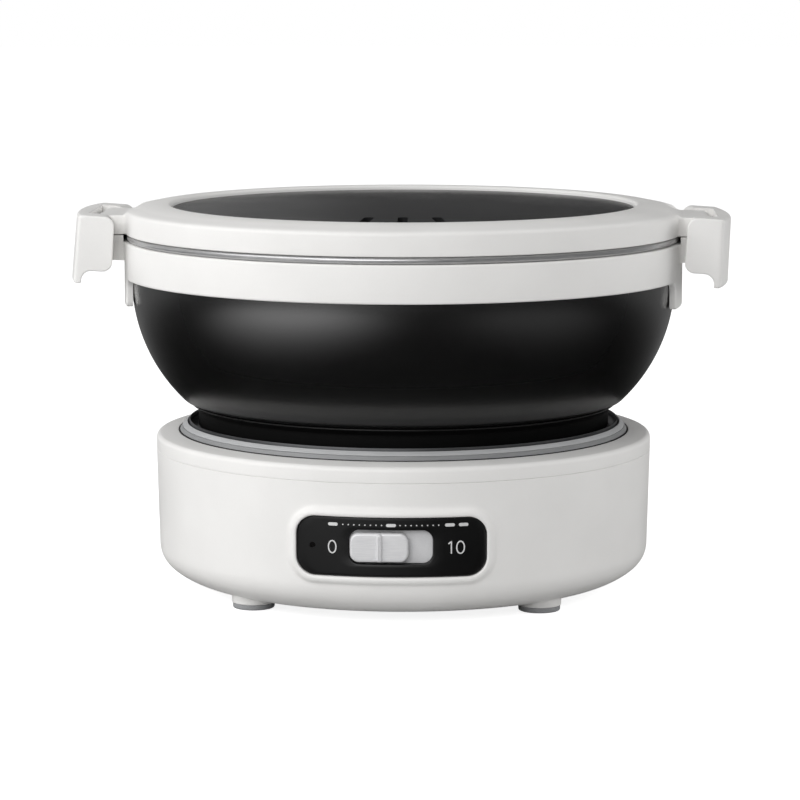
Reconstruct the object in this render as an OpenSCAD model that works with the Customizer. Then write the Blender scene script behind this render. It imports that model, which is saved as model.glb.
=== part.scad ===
// Electric travel cooker: a round heater base with a slide control, a lift-off pot in a winged collar,
// and a windowed lid closed by two side latches. Millimetres, +Z up, the control panel faces -Y.
// The origin lies on the floor below the pot's axis.

/* [Pot] */
// How far the pot's upright wall stands out beyond its foot
bowl_overhang = 23.7; // [20:0.1:27]
// Wall thickness at the pot's mouth
pot_wall = 2.2; // [1.8:0.1:2.6]
// Height of the pot, base to mouth
pot_h = 70.4; // [66:0.2:80]
// Radius of the bowl's outer curve
bowl_arc_r = 59.5; // [58:0.5:61]
// Height of the bowl curve's centre above the pot's base
bowl_arc_h = 54.25; // [53.5:0.25:55]
// Rounding below the bowl
bowl_turn_r = 5; // [4:0.25:5.5]
// Thickness of the pot's floor
pot_floor = 3.5; // [3:0.1:4.5]
// Radius of the pot's foot
pot_foot_r = 74.7; // [72:0.1:76]
// Height of the pot's foot
pot_foot_h = 9.7; // [8.5:0.1:10.5]
// Flare at the top edge of the foot
foot_flare = 2.3; // [1.2:0.1:2.6]
// Bevel at the bottom edge of the foot
foot_bevel = 1.5; // [0.5:0.1:2.5]
// Height of the groove between foot and bowl
foot_groove_h = 0.55; // [0.3:0.05:0.8]
// Depth of the groove between foot and bowl
foot_groove_d = 0.8; // [0.3:0.05:1]

/* [Steel rim] */
// Radius of the rolled bead
bead_r = 1.2; // [1.1:0.05:1.4]
// Thickness of the rim's inner lip
rim_lip_t = 0.6; // [0.4:0.05:0.9]
// Depth of the rim's inner lip
rim_lip_h = 5; // [3:0.5:8]
// How far the pot's wall stands above the collar
rim_cover = 1.8; // [1.5:0.1:2.2]

/* [Collar] */
// Wall thickness of the collar
collar_wall = 2.4; // [2:0.1:3.2]
// Height of the collar
collar_h = 13.2; // [11:0.2:16]
// Thickness of a collar wing
collar_wing_h = 9.1; // [8:0.1:10.5]
// How far a collar wing stands above the collar
collar_wing_rise = 2.3; // [1.5:0.1:2.4]
// How far a collar wing reaches out from the collar
collar_wing_reach = 9.4; // [8:0.1:9.6]
// Rounding of a collar wing's lower outer edge
collar_wing_round = 2.5; // [1:0.25:4]
// Half width of an apron below a collar wing
apron_half_w = 24; // [20:0.5:27]
// How far an apron hangs below the collar
apron_drop = 11.6; // [8:0.2:14]
// Fillet where an apron leaves the collar's lower edge
apron_fillet = 4; // [2:0.5:6]
// Radius of the snap bead that holds the collar on the pot
collar_snap_r = 0.8; // [0.5:0.05:1]

/* [Lid] */
// How far the lid's band lies inside the collar's face
lid_inset = 0.4; // [0:0.1:1.2]
// Height of the lid from its band to its crown
lid_h = 10.8; // [10.2:0.1:12]
// Radius of the crowned top's curve
lid_crown_arc = 36.4; // [32:0.4:44]
// Distance from the window's edge to the crown's highest ring
lid_crown_in = 2.5; // [1:0.25:4]
// Rounding of the lid's outer top edge
lid_edge_r = 1.5; // [1:0.1:2.2]
// Width of the lid's top, window to outside
lid_land = 16.6; // [15:0.2:19]
// Depth of the window below the lid's lip
window_drop = 2.9; // [2.2:0.1:3.2]
// Thickness of the window
window_t = 3; // [2.4:0.1:3.4]
// Width of the ledge that carries the window
ledge_w = 4; // [3:0.25:6]
// Thickness of the lid's top, ledge and skirt
lid_wall = 2.2; // [1.8:0.1:2.4]
// How far the lid's skirt reaches into the pot
skirt_drop = 5; // [3:0.25:7]
// Height of the seal above the steel rim
seal_h = 2.8; // [2.2:0.1:3.2]
// Radial width of the seal
seal_w = 3; // [2.4:0.1:3.2]

/* [Vents] */
// Width of a vent slot
vent_w = 3.5; // [2:0.1:5]
// Length of a vent slot
vent_l = 25; // [15:0.5:30]
// Distance of the vents' middle from the lid's centre
vent_y = 57.5; // [45:0.5:62]
// Spacing of the vents
vent_pitch = 12.6; // [8:0.2:16]
// Angle between neighbouring vents
vent_fan = 4.5; // [0:0.5:8]
// Turn of the window in its frame in degrees
window_turn = 2.5; // [-5:0.5:5]

/* [Lid wings and latches] */
// Half width of the wings on lid and collar
wing_half_w = 17.5; // [14:0.25:19]
// Thickness of a lid wing
lid_wing_h = 6.7; // [6:0.1:7.2]
// Distance of a hinge pin from the lid's band
pin_out = 7.7; // [7:0.1:9]
// Radius of a hinge pin
pin_r = 1.25; // [1:0.05:1.5]
// How far a hinge pin reaches into a latch cheek
pin_grip = 6; // [4:0.25:8]
// Fillet between a wing and the ring that carries it
wing_fillet = 3; // [1.5:0.25:4]
// Half width of a latch
latch_half_w = 29; // [26:0.5:30]
// Thickness of a latch's outer wall at its top
latch_wall = 5.6; // [5:0.1:7]
// How far a latch flares out from top to tip
latch_flare = 0.6; // [0.3:0.1:2]
// Depth of the cheeks on the inner side of the pin
cheek_in = 5.4; // [4.2:0.1:5.6]
// Height of a latch's top above the pin
latch_above = 4; // [3.8:0.05:4.2]
// Depth of the cheeks below the pin
cheek_below = 17.6; // [16:0.1:19]
// Depth of the finger lip below the cheeks
lip_drop = 3; // [2.75:0.25:5]
// Thickness of the finger lip
lip_t = 3.2; // [2.4:0.1:4]
// Rounding at the cheek's upper inner corner
cheek_top_round = 4; // [3:0.1:4]
// Rounding at the cheek's lower inner corner
cheek_low_round = 6; // [3:0.25:7]
// Fillet between cheek and finger lip
lip_fillet = 2.25; // [1.5:0.25:2.5]
// Rounding of a latch's outer top edge
latch_edge_r = 1.2; // [0.6:0.1:2]
// Radius of the snap rib inside a latch
snap_rib_r = 1.7; // [1.2:0.1:2]
// Half length of the snap rib
snap_rib_half_l = 12; // [8:0.5:15]

/* [Base] */
// Height of the base's top face above the floor
base_h = 57; // [52:0.5:64]
// Width of the white top face of the cover
cover_land = 8.1; // [7.5:0.1:11]
// Fall of the cover's top face towards its outer edge
cover_fall = 0.9; // [0.3:0.1:1.4]
// Rounding of the cover's outer edge
cover_edge_r = 2; // [1:0.1:2.6]
// Height of the cover's outer band
cover_band_h = 6.4; // [5.5:0.1:8]
// Wall thickness of the housing
base_wall = 2.6; // [2:0.1:3]
// How much narrower the housing is at its lower rounding
base_draft = 0.9; // [0:0.1:2]
// Height of the underside above the floor
underside_h = 3.1; // [2.5:0.1:4]
// Tighter radius of the lower rounding
low_round_r = 9.5; // [8:0.25:11]
// Wider radius of the lower rounding
low_sweep_r = 22; // [16:0.5:26]
// Turn of the tighter radius in degrees
low_round_turn = 50; // [40:1:60]
// Angle of the feet from the side
foot_angle = 46; // [40:0.5:50]
// Radius of a rubber foot pad
pad_r = 7.4; // [6:0.1:8.5]
// How far the foot bosses stand below the underside
foot_boss_drop = 1.2; // [0.6:0.1:1.4]
// Distance of the feet's middle from the base's wall
foot_in = 16.6; // [14:0.2:22]
// How far the foot boss stands out round its pad
foot_boss_rim = 0.3; // [0.2:0.1:0.6]
// Number of cooling slots in the underside
cooling_slots = 16; // [8:1:20]
// Width of a cooling slot
cooling_slot_w = 3; // [2:0.25:4]
// Length of a cooling slot
cooling_slot_l = 16; // [8:1:20]

/* [Heating] */
// Height of the plate's top above the cover
plate_rise = 0.5; // [0:0.1:2]
// Thickness of the heating plate
plate_t = 8; // [7:0.25:10]
// Radius of the dished rim round the pot's foot
dish_r = 2.5; // [1.5:0.1:3]
// Wall outside the dished rim
dish_wall = 0.6; // [0.4:0.05:1]
// How far the rim stands above its dish
dish_rise = 0.9; // [0.3:0.1:1.2]
// Width of the grey ring round the plate
ring_w = 3.2; // [2.6:0.1:5]
// Height of the grey ring above the cover, inside
ring_rise = 3.1; // [2:0.1:4]
// Height of the grey ring's ridge above the cover
ring_ridge = 1.6; // [1:0.1:1.8]
// Depth of the seat below the grey ring
ring_seat = 4; // [3:0.1:4.5]
// Radius of the heating element's tube
element_r = 3.3; // [2.5:0.1:3.6]
// Radius of the heating element's ring
element_ring_r = 46; // [40:0.5:48]
// Gap between the element's two ends in degrees
element_gap = 40; // [25:1:60]
// Distance of the plate posts from the axis
post_ring_r = 60; // [57:0.5:64]
// Radius of a plate post
post_r = 3; // [2.5:0.1:4]
// Depth of the heat shield below the plate
shield_drop = 10; // [9:0.25:12]
// Sheet thickness of the heat shield
shield_t = 0.8; // [0.5:0.05:1.2]

/* [Sensor] */
// Radius of the sensor cap
sensor_r = 13; // [12:0.1:15]
// Wall of the sensor cap and its cup
sensor_wall = 1.2; // [0.8:0.1:1.4]
// Travel of the sensor cap
sensor_travel = 2; // [1:0.1:2.2]
// Wire radius of the sensor spring
spring_wire_r = 0.5; // [0.4:0.05:0.7]
// Turns of the sensor spring
spring_turns = 5; // [4:0.5:7]

/* [Control panel] */
// Width of the black panel
panel_w = 65; // [60:0.5:70]
// Height of the black panel
panel_h = 20.5; // [18:0.1:22]
// Height of the panel's middle above the floor
panel_z = 28.6; // [28:0.1:31]
// Corner radius of the black panel
panel_corner = 6.5; // [4:0.25:8]
// Width of the raised bezel
bezel_w = 2.2; // [1.5:0.1:3]
// How far the bezel stands out from the housing
bezel_rise = 1.6; // [0.8:0.1:2]
// Depth of the panel's face behind the bezel
panel_sink = 1.2; // [0.4:0.1:1.6]
// Thickness of the panel
panel_t = 3.4; // [2.6:0.1:4]
// Length of the slider's slot
slot_w = 28.8; // [27:0.1:33]
// Height of the slider's slot
slot_h = 11.7; // [10.8:0.1:13]
// Corner radius of the slider's slot
slot_corner = 3.7; // [2:0.1:5]
// Length of the slide knob
knob_w = 19.9; // [18:0.1:22]
// Height of the slide knob
knob_h = 9.9; // [8.5:0.1:10.2]
// Corner radius of the slide knob
knob_corner = 3; // [1.5:0.1:4]
// How far the knob stands out of the panel
knob_proud = 1; // [0.4:0.1:2]
// Width of the grip rib on the knob
knob_rib_w = 1.8; // [1.2:0.1:3]
// Height of the grip rib above the knob's face
knob_rib_h = 1.1; // [0.6:0.1:1.6]
// Depth of the silver bed behind the panel's face
bed_sink = 2.6; // [2:0.1:3]
// Distance of the indicator from the panel's middle
lens_x = 27; // [24:0.25:29]
// Radius of the indicator's light pipe
lens_r = 1; // [0.7:0.05:1.4]
// Length of the slide switch's body
switch_w = 40; // [36:0.5:44]
// Height of the slide switch's body
switch_h = 10; // [8:0.25:12]
// Depth of the slide switch's body
switch_d = 6.5; // [5.5:0.1:8]
// Width of the control board
board_w = 60; // [57:0.5:62]
// Height of the control board
board_h = 26; // [22:0.5:28]
// Thickness of the control board
board_t = 1.6; // [1:0.1:2]

/* [Power inlet] */
// Width of the inlet's cavity
inlet_w = 24.5; // [23:0.1:26]
// Height of the inlet's cavity
inlet_h = 16.8; // [15.5:0.1:18]
// Depth of the inlet's cavity
inlet_d = 17; // [15:0.25:19]
// Height of the inlet's middle above the floor
inlet_z = 27; // [26:0.1:28]
// Wall round the inlet's cavity
inlet_wall = 1.8; // [1.4:0.1:2.4]
// Width of the inlet's outer flange
inlet_flange = 2; // [1.5:0.1:3]
// Spacing of the inlet's outer pins
pin_pitch = 14; // [13:0.1:15]

/* [Fits] */
// Gap between parts that are assembled with play
play = 0.2; // [0.1:0.05:0.4]
// Gap between the pot and the dish it stands in
pot_play = 0.3; // [0.2:0.05:0.6]
// Gap between parts that slide or swing past each other
swing_gap = 0.4; // [0.3:0.05:0.6]
// Radial clearance of a pin that turns in its bore
pin_play = 0.05; // [0.03:0.01:0.08]
// Gap between the lid and the steel rim
lid_gap = 0.15; // [0.1:0.05:0.4]

/* [Hidden] */
$fn = 96;
far = 300;
overlap = 0.5;

// Heights from the floor up
seam_z = base_h - cover_band_h;
plate_top = base_h + plate_rise;
plate_low = plate_top - plate_t;
pot_z = plate_top;
pot_top = pot_z + pot_h;
bowl_low = pot_z + pot_foot_h + foot_groove_h;
collar_top = pot_top - rim_cover;
collar_low = collar_top - collar_h;
collar_wing_top = collar_top + collar_wing_rise;
collar_wing_low = collar_wing_top - collar_wing_h;
rim_top = collar_top + play / 2 + 2 * bead_r;
lid_low = rim_top + lid_gap;
lid_top = lid_low + lid_h;
pin_z = lid_low + lid_wing_h / 2;
latch_top = pin_z + latch_above;
cheek_low = pin_z - cheek_below;
lip_low = cheek_low - lip_drop;

// Radii from the pot's foot out to the base
plate_dish_r = pot_foot_r + pot_play;
plate_r = plate_dish_r + dish_r + dish_wall;
ring_in_r = plate_r + swing_gap;
ring_out_r = ring_in_r + ring_w;
cover_in_r = ring_out_r + play;
base_r = cover_in_r + cover_land;
base_low_r = base_r - base_draft;
spigot_r = base_r - base_wall - play - base_draft / 4;
spigot_t = 2.4;
ledge_t = 2.6;
cover_snap_r = 0.6;
cover_snap_z = seam_z - cover_band_h / 2;
ledge_low = base_h - ring_seat - ledge_t;
pad_t = underside_h - foot_boss_drop;
foot_ring_r = base_low_r - foot_in;
foot_pos = [foot_ring_r * cos(foot_angle), foot_ring_r * sin(foot_angle)];

// Radii from the pot's wall out to the latches
pot_r = pot_foot_r + bowl_overhang;
collar_r = pot_r + play + collar_wall;
lid_r = collar_r - lid_inset;
lip_r = lid_r - lid_land;
rim_in_r = pot_r - pot_wall - play / 4 - rim_lip_t;
pin_x = lid_r + pin_out;
nose_r = lid_wing_h / 2;
pocket_x = pin_x + nose_r + 2 * swing_gap;
latch_r = pocket_x + latch_wall;
latch_tip_r = latch_r + latch_flare;
snap_nose_x = pocket_x - snap_rib_r;
collar_wing_x = min(collar_r + collar_wing_reach, snap_nose_x - swing_gap);

// Bowl curves: outer arc, the turn below it, and an inner arc that ends level with the floor
bowl_c = [pot_r - bowl_arc_r, pot_z + bowl_arc_h];
turn_dz = bowl_c[1] - bowl_low - bowl_turn_r;
turn_c = [bowl_c[0] + sqrt(pow(bowl_arc_r - bowl_turn_r, 2) - turn_dz * turn_dz), bowl_low + bowl_turn_r];
turn_a = -asin(turn_dz / (bowl_arc_r - bowl_turn_r));
groove_r = pot_foot_r + foot_flare - foot_groove_d;
inner_run = pot_r - pot_wall - (groove_r - pot_wall);
inner_drop = bowl_c[1] - bowl_low;
inner_arc_r = (inner_run * inner_run + inner_drop * inner_drop) / (2 * inner_run);
inner_c = [pot_r - pot_wall - inner_arc_r, bowl_c[1]];
floor_drop = min(bowl_arc_h - pot_floor, inner_arc_r);
floor_a = -asin(floor_drop / inner_arc_r);

// Lower rounding of the base: a tight arc at the wall and a wide arc at the underside
round_drop = low_sweep_r - (low_sweep_r - low_round_r) * sin(low_round_turn);
round_c = [base_low_r - low_round_r, underside_h + round_drop];
sweep_c = round_c - (low_sweep_r - low_round_r) * [cos(low_round_turn), -sin(low_round_turn)];

// Crown of the lid and its rounded outer edge
crown_c = [lip_r + lid_crown_in, lid_top - lid_crown_arc];
edge_dx = lid_r - lid_edge_r - crown_c[0];
edge_c = [lid_r - lid_edge_r, crown_c[1] + sqrt(pow(lid_crown_arc - lid_edge_r, 2) - edge_dx * edge_dx)];
edge_a = acos(edge_dx / (lid_crown_arc - lid_edge_r));
lip_top = crown_c[1] + sqrt(lid_crown_arc * lid_crown_arc - lid_crown_in * lid_crown_in);
window_top = lip_top - window_drop;
window_low = window_top - window_t;

// Control panel: faces at the front, on the housing's curve
wall_front_r = base_low_r + base_draft * (panel_z - round_c[1]) / (seam_z - round_c[1]);
bezel_r = wall_front_r + bezel_rise;
panel_r = bezel_r - panel_sink;
panel_back_r = panel_r - panel_t;
flange_grow = 2.4;
flange_t = 1.4;
panel_flange_r = wall_front_r - base_wall - 2 * play;
flange_back_r = panel_flange_r - flange_t;
bed_face_y = -(panel_r - bed_sink);
bed_flange_grow = 3;
bed_flange_w = slot_w + 2 * bed_flange_grow;
bed_back_y = -sqrt(pow(flange_back_r, 2) - pow(bed_flange_w / 2, 2)) + play;
bed_flange_t = 1.2;
switch_front_y = bed_back_y + bed_flange_t;
board_front_y = switch_front_y + switch_d;
knob_end_gap = 0.55;
knob_x = -(slot_w - knob_w) / 2 + knob_end_gap;
knob_travel = slot_w - knob_w - 2 * knob_end_gap;
stem_w = 2.4;
stem_h = 4;
stem_reach = 3;

// Screws, bosses and posts on the housing's floor
floor_z = underside_h + base_wall;
boss_rise = 4.4;
boss_top = floor_z + boss_rise;
foot_boss_rise = 2;
foot_boss_top = floor_z + foot_boss_rise;
peg_r = 2.5;
peg_l = 3;
boss_r = 6;
screw_r = 1.5;
screw_head_r = 3.3;
screw_head_t = 2.2;
screw_grip = 9;
head_z = boss_top - 3 - screw_head_t;
shield_z = plate_low - shield_drop;
shield_r = plate_r - 4;
shoulder_r = post_r + 1.5;
stud_r = post_r - 1.1;
stud_l = 4;
post_angles = [90, 210, 330];
leg_drop = 5;
leg_turn = 5;

// Sensor cap, cup and spring on the axis
sensor_hole_r = sensor_r + swing_gap;
sensor_top = pot_z - play;
sensor_lip_w = 1.6;
sensor_low = plate_low - sensor_travel - 1.6;
cup_r = sensor_r - sensor_wall - swing_gap;
cup_z = shield_z + shield_t;
cup_top = sensor_top - sensor_wall - sensor_travel - 1.2;
spring_r = cup_r - sensor_wall - 3 * spring_wire_r;
spring_low = cup_z + sensor_wall + spring_wire_r + play / 2;
spring_high = sensor_top - sensor_wall - spring_wire_r - play / 2;
spring_sides = 6;
spring_rings = 8;

// Inlet at the back, on a flat pad of the housing
inlet_body_w = inlet_w + 2 * inlet_wall;
inlet_body_h = inlet_h + 2 * inlet_wall;
inlet_face_y = wall_front_r + 0.8;
inlet_flange_t = 1;
inlet_corner = 2.5;
inlet_bevel = 4.5;
inlet_pin_t = 2;
inlet_pin_h = 4;
inlet_pin_offset = 2;
inlet_pin_recess = 3;
inlet_tail = 5;

// Flat helpers
module disc(c, r) {
    translate(c) circle(r);
}

function polar(c, r, a) = c + r * [cos(a), sin(a)];

// Round cap outside the chord between two angles of a circle
module arc_cap(c, r, a0, a1) {
    intersection() {
        disc(c, r);
        polygon([polar(c, r, a0), polar(c, r / cos((a1 - a0) / 2), (a0 + a1) / 2), polar(c, r, a1)]);
    }
}

module rounded_rect(w, h, r) {
    square([w, h - 2 * r], center = true);
    square([w - 2 * r, h], center = true);
    for (sx = [-1, 1], sy = [-1, 1])
        disc([sx * (w / 2 - r), sy * (h / 2 - r)], r);
}

// Extrudes an upright outline in X and Z from y0 to y1
module along_y(y0, y1) {
    translate([0, y1, 0]) rotate([90, 0, 0]) linear_extrude(y1 - y0) children();
}

module ring(r_in, r_out, z0, z1) {
    rotate_extrude() translate([r_in, z0]) square([r_out - r_in, z1 - z0]);
}

module at_feet() {
    for (sx = [-1, 1], sy = [-1, 1])
        translate([sx * foot_pos[0], sy * foot_pos[1], 0]) children();
}

module at_posts() {
    for (a = post_angles)
        rotate(a) translate([post_ring_r, 0, 0]) children();
}

// Base: outline of the housing, set in from its outer face
module housing_outline(inset) {
    top_r = base_r - inset;
    low = underside_h + inset;
    polygon([
        [0, low], [sweep_c[0], low], polar(round_c, low_round_r - inset, -low_round_turn),
        [base_low_r - inset, round_c[1]], [top_r, seam_z], [0, seam_z]
    ]);
    arc_cap(round_c, low_round_r - inset, -low_round_turn, 0);
    arc_cap(sweep_c, low_sweep_r - inset, -90, -low_round_turn);
}

module panel_outline(grow) {
    translate([0, panel_z]) rounded_rect(panel_w + 2 * grow, panel_h + 2 * grow, panel_corner + grow);
}

module inlet_outline(grow) {
    translate([0, inlet_z])
        rounded_rect(inlet_body_w + 2 * grow, inlet_body_h + 2 * grow, inlet_corner + grow);
}

module cooling_slot_cuts() {
    for (i = [0 : cooling_slots - 1])
        rotate((i + 0.5) * 360 / cooling_slots)
            translate([post_ring_r / 2 - cooling_slot_l / 2, -cooling_slot_w / 2, 0])
                cube([cooling_slot_l, cooling_slot_w, floor_z + 1]);
}

module screw_hole() {
    cylinder(r = screw_head_r + play, h = head_z + screw_head_t);
    cylinder(r = screw_r + 2 * play, h = boss_top + 1);
}

// Upright guides that hold the control board by its edges
module board_guide(side) {
    guide_t = 3.4;
    x = side * board_w / 2;
    difference() {
        translate([x - guide_t / 2, board_front_y - guide_t, underside_h])
            cube([guide_t, board_t + 2 * guide_t, panel_z + board_h / 4 - underside_h]);
        translate([-board_w / 2 - play, board_front_y - play, panel_z - board_h / 2 - play])
            cube([board_w + 2 * play, board_t + 2 * play, board_h]);
    }
}

module housing() {
    color("whitesmoke")
    difference() {
        union() {
            difference() {
                union() {
                    rotate_extrude() housing_outline(0);
                    at_feet() translate([0, 0, pad_t])
                        cylinder(r = pad_r + foot_boss_rim, h = foot_boss_top - pad_t);
                    intersection() {
                        ring(wall_front_r - base_wall / 2, bezel_r, 0, seam_z);
                        along_y(-far, 0) panel_outline(bezel_w);
                    }
                    along_y(wall_front_r - 3 * base_wall, inlet_face_y) inlet_outline(inlet_flange);
                }
                rotate_extrude() {
                    housing_outline(base_wall);
                    disc([spigot_r, cover_snap_z], cover_snap_r + play);
                    translate([0, seam_z - overlap]) square([base_r - base_wall, 2 * overlap]);
                }
            }
            intersection() {
                rotate_extrude() housing_outline(base_wall / 2);
                union() {
                    at_posts() cylinder(r = boss_r, h = boss_top);
                    for (side = [-1, 1]) board_guide(side);
                }
            }
        }
        along_y(-far, 0) panel_outline(play);
        along_y(0, far) inlet_outline(play);
        at_feet() cylinder(r = peg_r + play / 2, h = pad_t + peg_l + play);
        at_posts() screw_hole();
        cooling_slot_cuts();
    }
}

module top_cover() {
    top_c = [base_r - cover_edge_r, base_h - cover_fall - cover_edge_r];
    run = [top_c[0] - cover_in_r, base_h - top_c[1]];
    top_a = 180 - atan2(run[1], run[0]) - acos(cover_edge_r / norm(run));
    color("white") {
        rotate_extrude() {
            polygon([
                [ring_in_r, ledge_low], [spigot_r - spigot_t, ledge_low], [spigot_r - spigot_t, seam_z - cover_band_h],
                [spigot_r, seam_z - cover_band_h], [spigot_r, seam_z], [base_r, seam_z],
                [base_r, top_c[1]], polar(top_c, cover_edge_r, top_a), [cover_in_r, base_h],
                [cover_in_r, base_h - ring_seat], [ring_in_r, base_h - ring_seat]
            ]);
            arc_cap(top_c, cover_edge_r, 0, top_a);
            intersection() {
                disc([spigot_r, cover_snap_z], cover_snap_r);
                translate([spigot_r - overlap, 0]) square([far, seam_z]);
            }
        }
    }
}

module foot_pads() {
    pad_edge = 0.6;
    color("gray") at_feet() rotate_extrude() {
        polygon([
            [0, 0], [pad_r - pad_edge, 0], [pad_r, pad_edge], [pad_r, pad_t], [peg_r, pad_t],
            [peg_r, pad_t + peg_l], [0, pad_t + peg_l]
        ]);
        arc_cap([pad_r - pad_edge, pad_edge], pad_edge, -90, 0);
    }
}

module base_screw() {
    slot_w = 1;
    difference() {
        union() {
            translate([0, 0, head_z]) cylinder(r = screw_head_r, h = screw_head_t);
            translate([0, 0, head_z]) cylinder(r = screw_r, h = boss_top + screw_grip - 1 - head_z);
        }
        for (a = [0, 90])
            rotate(a) translate([-screw_head_r * 0.7, -slot_w / 2, head_z - 1])
                cube([screw_head_r * 1.4, slot_w, 2]);
    }
}

module base_screws() {
    color("silver") {
        at_posts() base_screw();
    }
}

// Control panel with its slot, held from behind by a flange
module control_panel() {
    color([0.06, 0.06, 0.06])
    difference() {
        union() {
            intersection() {
                ring(panel_back_r, panel_r, 0, seam_z);
                along_y(-far, 0) panel_outline(0);
            }
            intersection() {
                ring(flange_back_r, panel_flange_r, 0, seam_z);
                along_y(-far, 0) panel_outline(flange_grow);
            }
        }
        along_y(-far, 0) translate([0, panel_z]) rounded_rect(slot_w, slot_h, slot_corner);
        along_y(-far, 0) disc([-lens_x, panel_z], lens_r + pin_play);
    }
}

// Silver bed at the bottom of the slot, with a slit for the knob's stem
module slot_bed() {
    slit_w = knob_travel + stem_w + 2 * swing_gap;
    color("silver")
    difference() {
        union() {
            along_y(bed_face_y, switch_front_y)
                translate([0, panel_z]) rounded_rect(slot_w - 2 * play, slot_h - 2 * play, slot_corner - play);
            along_y(bed_back_y, switch_front_y)
                translate([0, panel_z]) rounded_rect(bed_flange_w, slot_h + 4, slot_corner);
        }
        along_y(-far, 0)
            translate([0, panel_z]) square([slit_w, stem_h + 2 * swing_gap], center = true);
    }
}

module indicator_lens() {
    face_y = -sqrt(panel_r * panel_r - lens_x * lens_x);
    color("dimgray") along_y(face_y + 0.6, board_front_y) disc([-lens_x, panel_z], lens_r);
}

module slide_switch() {
    lever_w = knob_travel + stem_w + 2 * swing_gap;
    color("saddlebrown")
    difference() {
        along_y(switch_front_y, board_front_y)
            translate([0, panel_z]) square([switch_w, switch_h], center = true);
        along_y(switch_front_y - 1, switch_front_y + stem_reach + swing_gap)
            translate([0, panel_z]) square([lever_w, stem_h + 2 * swing_gap], center = true);
    }
}

module control_board() {
    color("darkgreen") along_y(board_front_y, board_front_y + board_t)
        translate([0, panel_z]) square([board_w, board_h], center = true);
}

// Slide knob with a grip rib and the stem that works the switch
module slider_knob() {
    face_y = -(panel_r + knob_proud);
    back_y = bed_face_y - swing_gap;
    color("lightgray") translate([knob_x, 0, 0]) {
        along_y(face_y, back_y) translate([0, panel_z]) rounded_rect(knob_w, knob_h, knob_corner);
        along_y(face_y - knob_rib_h, face_y + overlap)
            translate([0, panel_z]) rounded_rect(knob_rib_w, knob_h, knob_rib_w / 2 - 0.01);
        along_y(back_y - overlap, switch_front_y + stem_reach)
            translate([0, panel_z]) square([stem_w, stem_h], center = true);
    }
}

// Grey bevelled ring between the cover and the heating plate
module heat_ring() {
    seat = base_h - ring_seat;
    mid_r = ring_in_r + 0.68 * ring_w;
    color("darkgray") rotate_extrude() polygon([
        [ring_in_r, seat], [ring_out_r, seat], [ring_out_r, base_h + 0.2],
        [mid_r, base_h + ring_ridge], [ring_in_r + 0.3, base_h + ring_rise], [ring_in_r, base_h + ring_rise - 0.3]
    ]);
}

module heating_plate() {
    dish_z = plate_top + dish_r;
    rim_z = dish_z + dish_rise;
    color("silver")
    difference() {
        rotate_extrude() difference() {
            polygon([
                [sensor_hole_r, plate_low], [plate_r - 1.4, plate_low], [plate_r, plate_low + 1.4],
                [plate_r, rim_z], [plate_r - dish_wall / 2, rim_z], [plate_r - dish_wall - 0.1, dish_z - 0.3],
                [plate_dish_r, dish_z - 0.3], [plate_dish_r, plate_top], [sensor_hole_r, plate_top]
            ]);
            disc([plate_dish_r, dish_z], dish_r);
        }
        element_path(element_r + play / 2, element_gap - 2 * leg_turn);
        at_posts() translate([0, 0, plate_low - 1]) cylinder(r = stud_r + play / 2, h = stud_l + 1.5);
    }
}

// Ring of the heating element, half sunk in the plate's underside, with its two legs
module element_path(r, gap) {
    translate([0, 0, plate_low]) rotate(90 + gap / 2)
        rotate_extrude(angle = 360 - gap) disc([element_ring_r, 0], r);
}

module at_legs() {
    for (side = [-1, 1])
        rotate(90 + side * (element_gap / 2 + leg_turn)) translate([element_ring_r, 0, 0]) children();
}

module heating_element() {
    leg_low = shield_z - leg_drop;
    color("dimgray") {
        element_path(element_r, element_gap);
        at_legs() translate([0, 0, leg_low]) cylinder(r = element_r - 0.8, h = plate_low - leg_low);
    }
}

// Turned posts: a shoulder carries the heat shield and a stud holds the plate
module plate_posts() {
    color("slategray") at_posts() difference() {
        union() {
            translate([0, 0, boss_top]) cylinder(r = shoulder_r, h = shield_z - boss_top);
            translate([0, 0, boss_top]) cylinder(r = post_r, h = plate_low - boss_top);
            translate([0, 0, boss_top]) cylinder(r = stud_r, h = plate_low + stud_l - boss_top);
        }
        cylinder(r = screw_r + pin_play, h = boss_top + screw_grip);
    }
}

module heat_shield() {
    rim_z = plate_low - 1;
    corner = 4;
    color("gainsboro")
    difference() {
        rotate_extrude() difference() {
            union() {
                polygon([
                    [0, shield_z], [shield_r - corner, shield_z], [shield_r, shield_z + corner],
                    [shield_r, rim_z], [0, rim_z]
                ]);
                arc_cap([shield_r - corner, shield_z + corner], corner, -90, 0);
            }
            polygon([
                [0, cup_z], [shield_r - corner, cup_z], [shield_r - shield_t, shield_z + corner],
                [shield_r - shield_t, rim_z + 1], [0, rim_z + 1]
            ]);
            arc_cap([shield_r - corner, shield_z + corner], corner - shield_t, -90, 0);
        }
        at_posts() cylinder(r = post_r + play, h = far);
        at_legs() cylinder(r = element_r + 2 * play, h = far);
    }
}

// Sprung sensor in the middle of the plate
module sensor_cup() {
    flange_r = sensor_r + 4;
    color("silver") rotate_extrude() polygon([
        [0, cup_z], [flange_r, cup_z], [flange_r, cup_z + sensor_wall], [cup_r, cup_z + sensor_wall],
        [cup_r, cup_top], [cup_r - sensor_wall, cup_top], [cup_r - sensor_wall, cup_z + sensor_wall],
        [0, cup_z + sensor_wall]
    ]);
}

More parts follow.
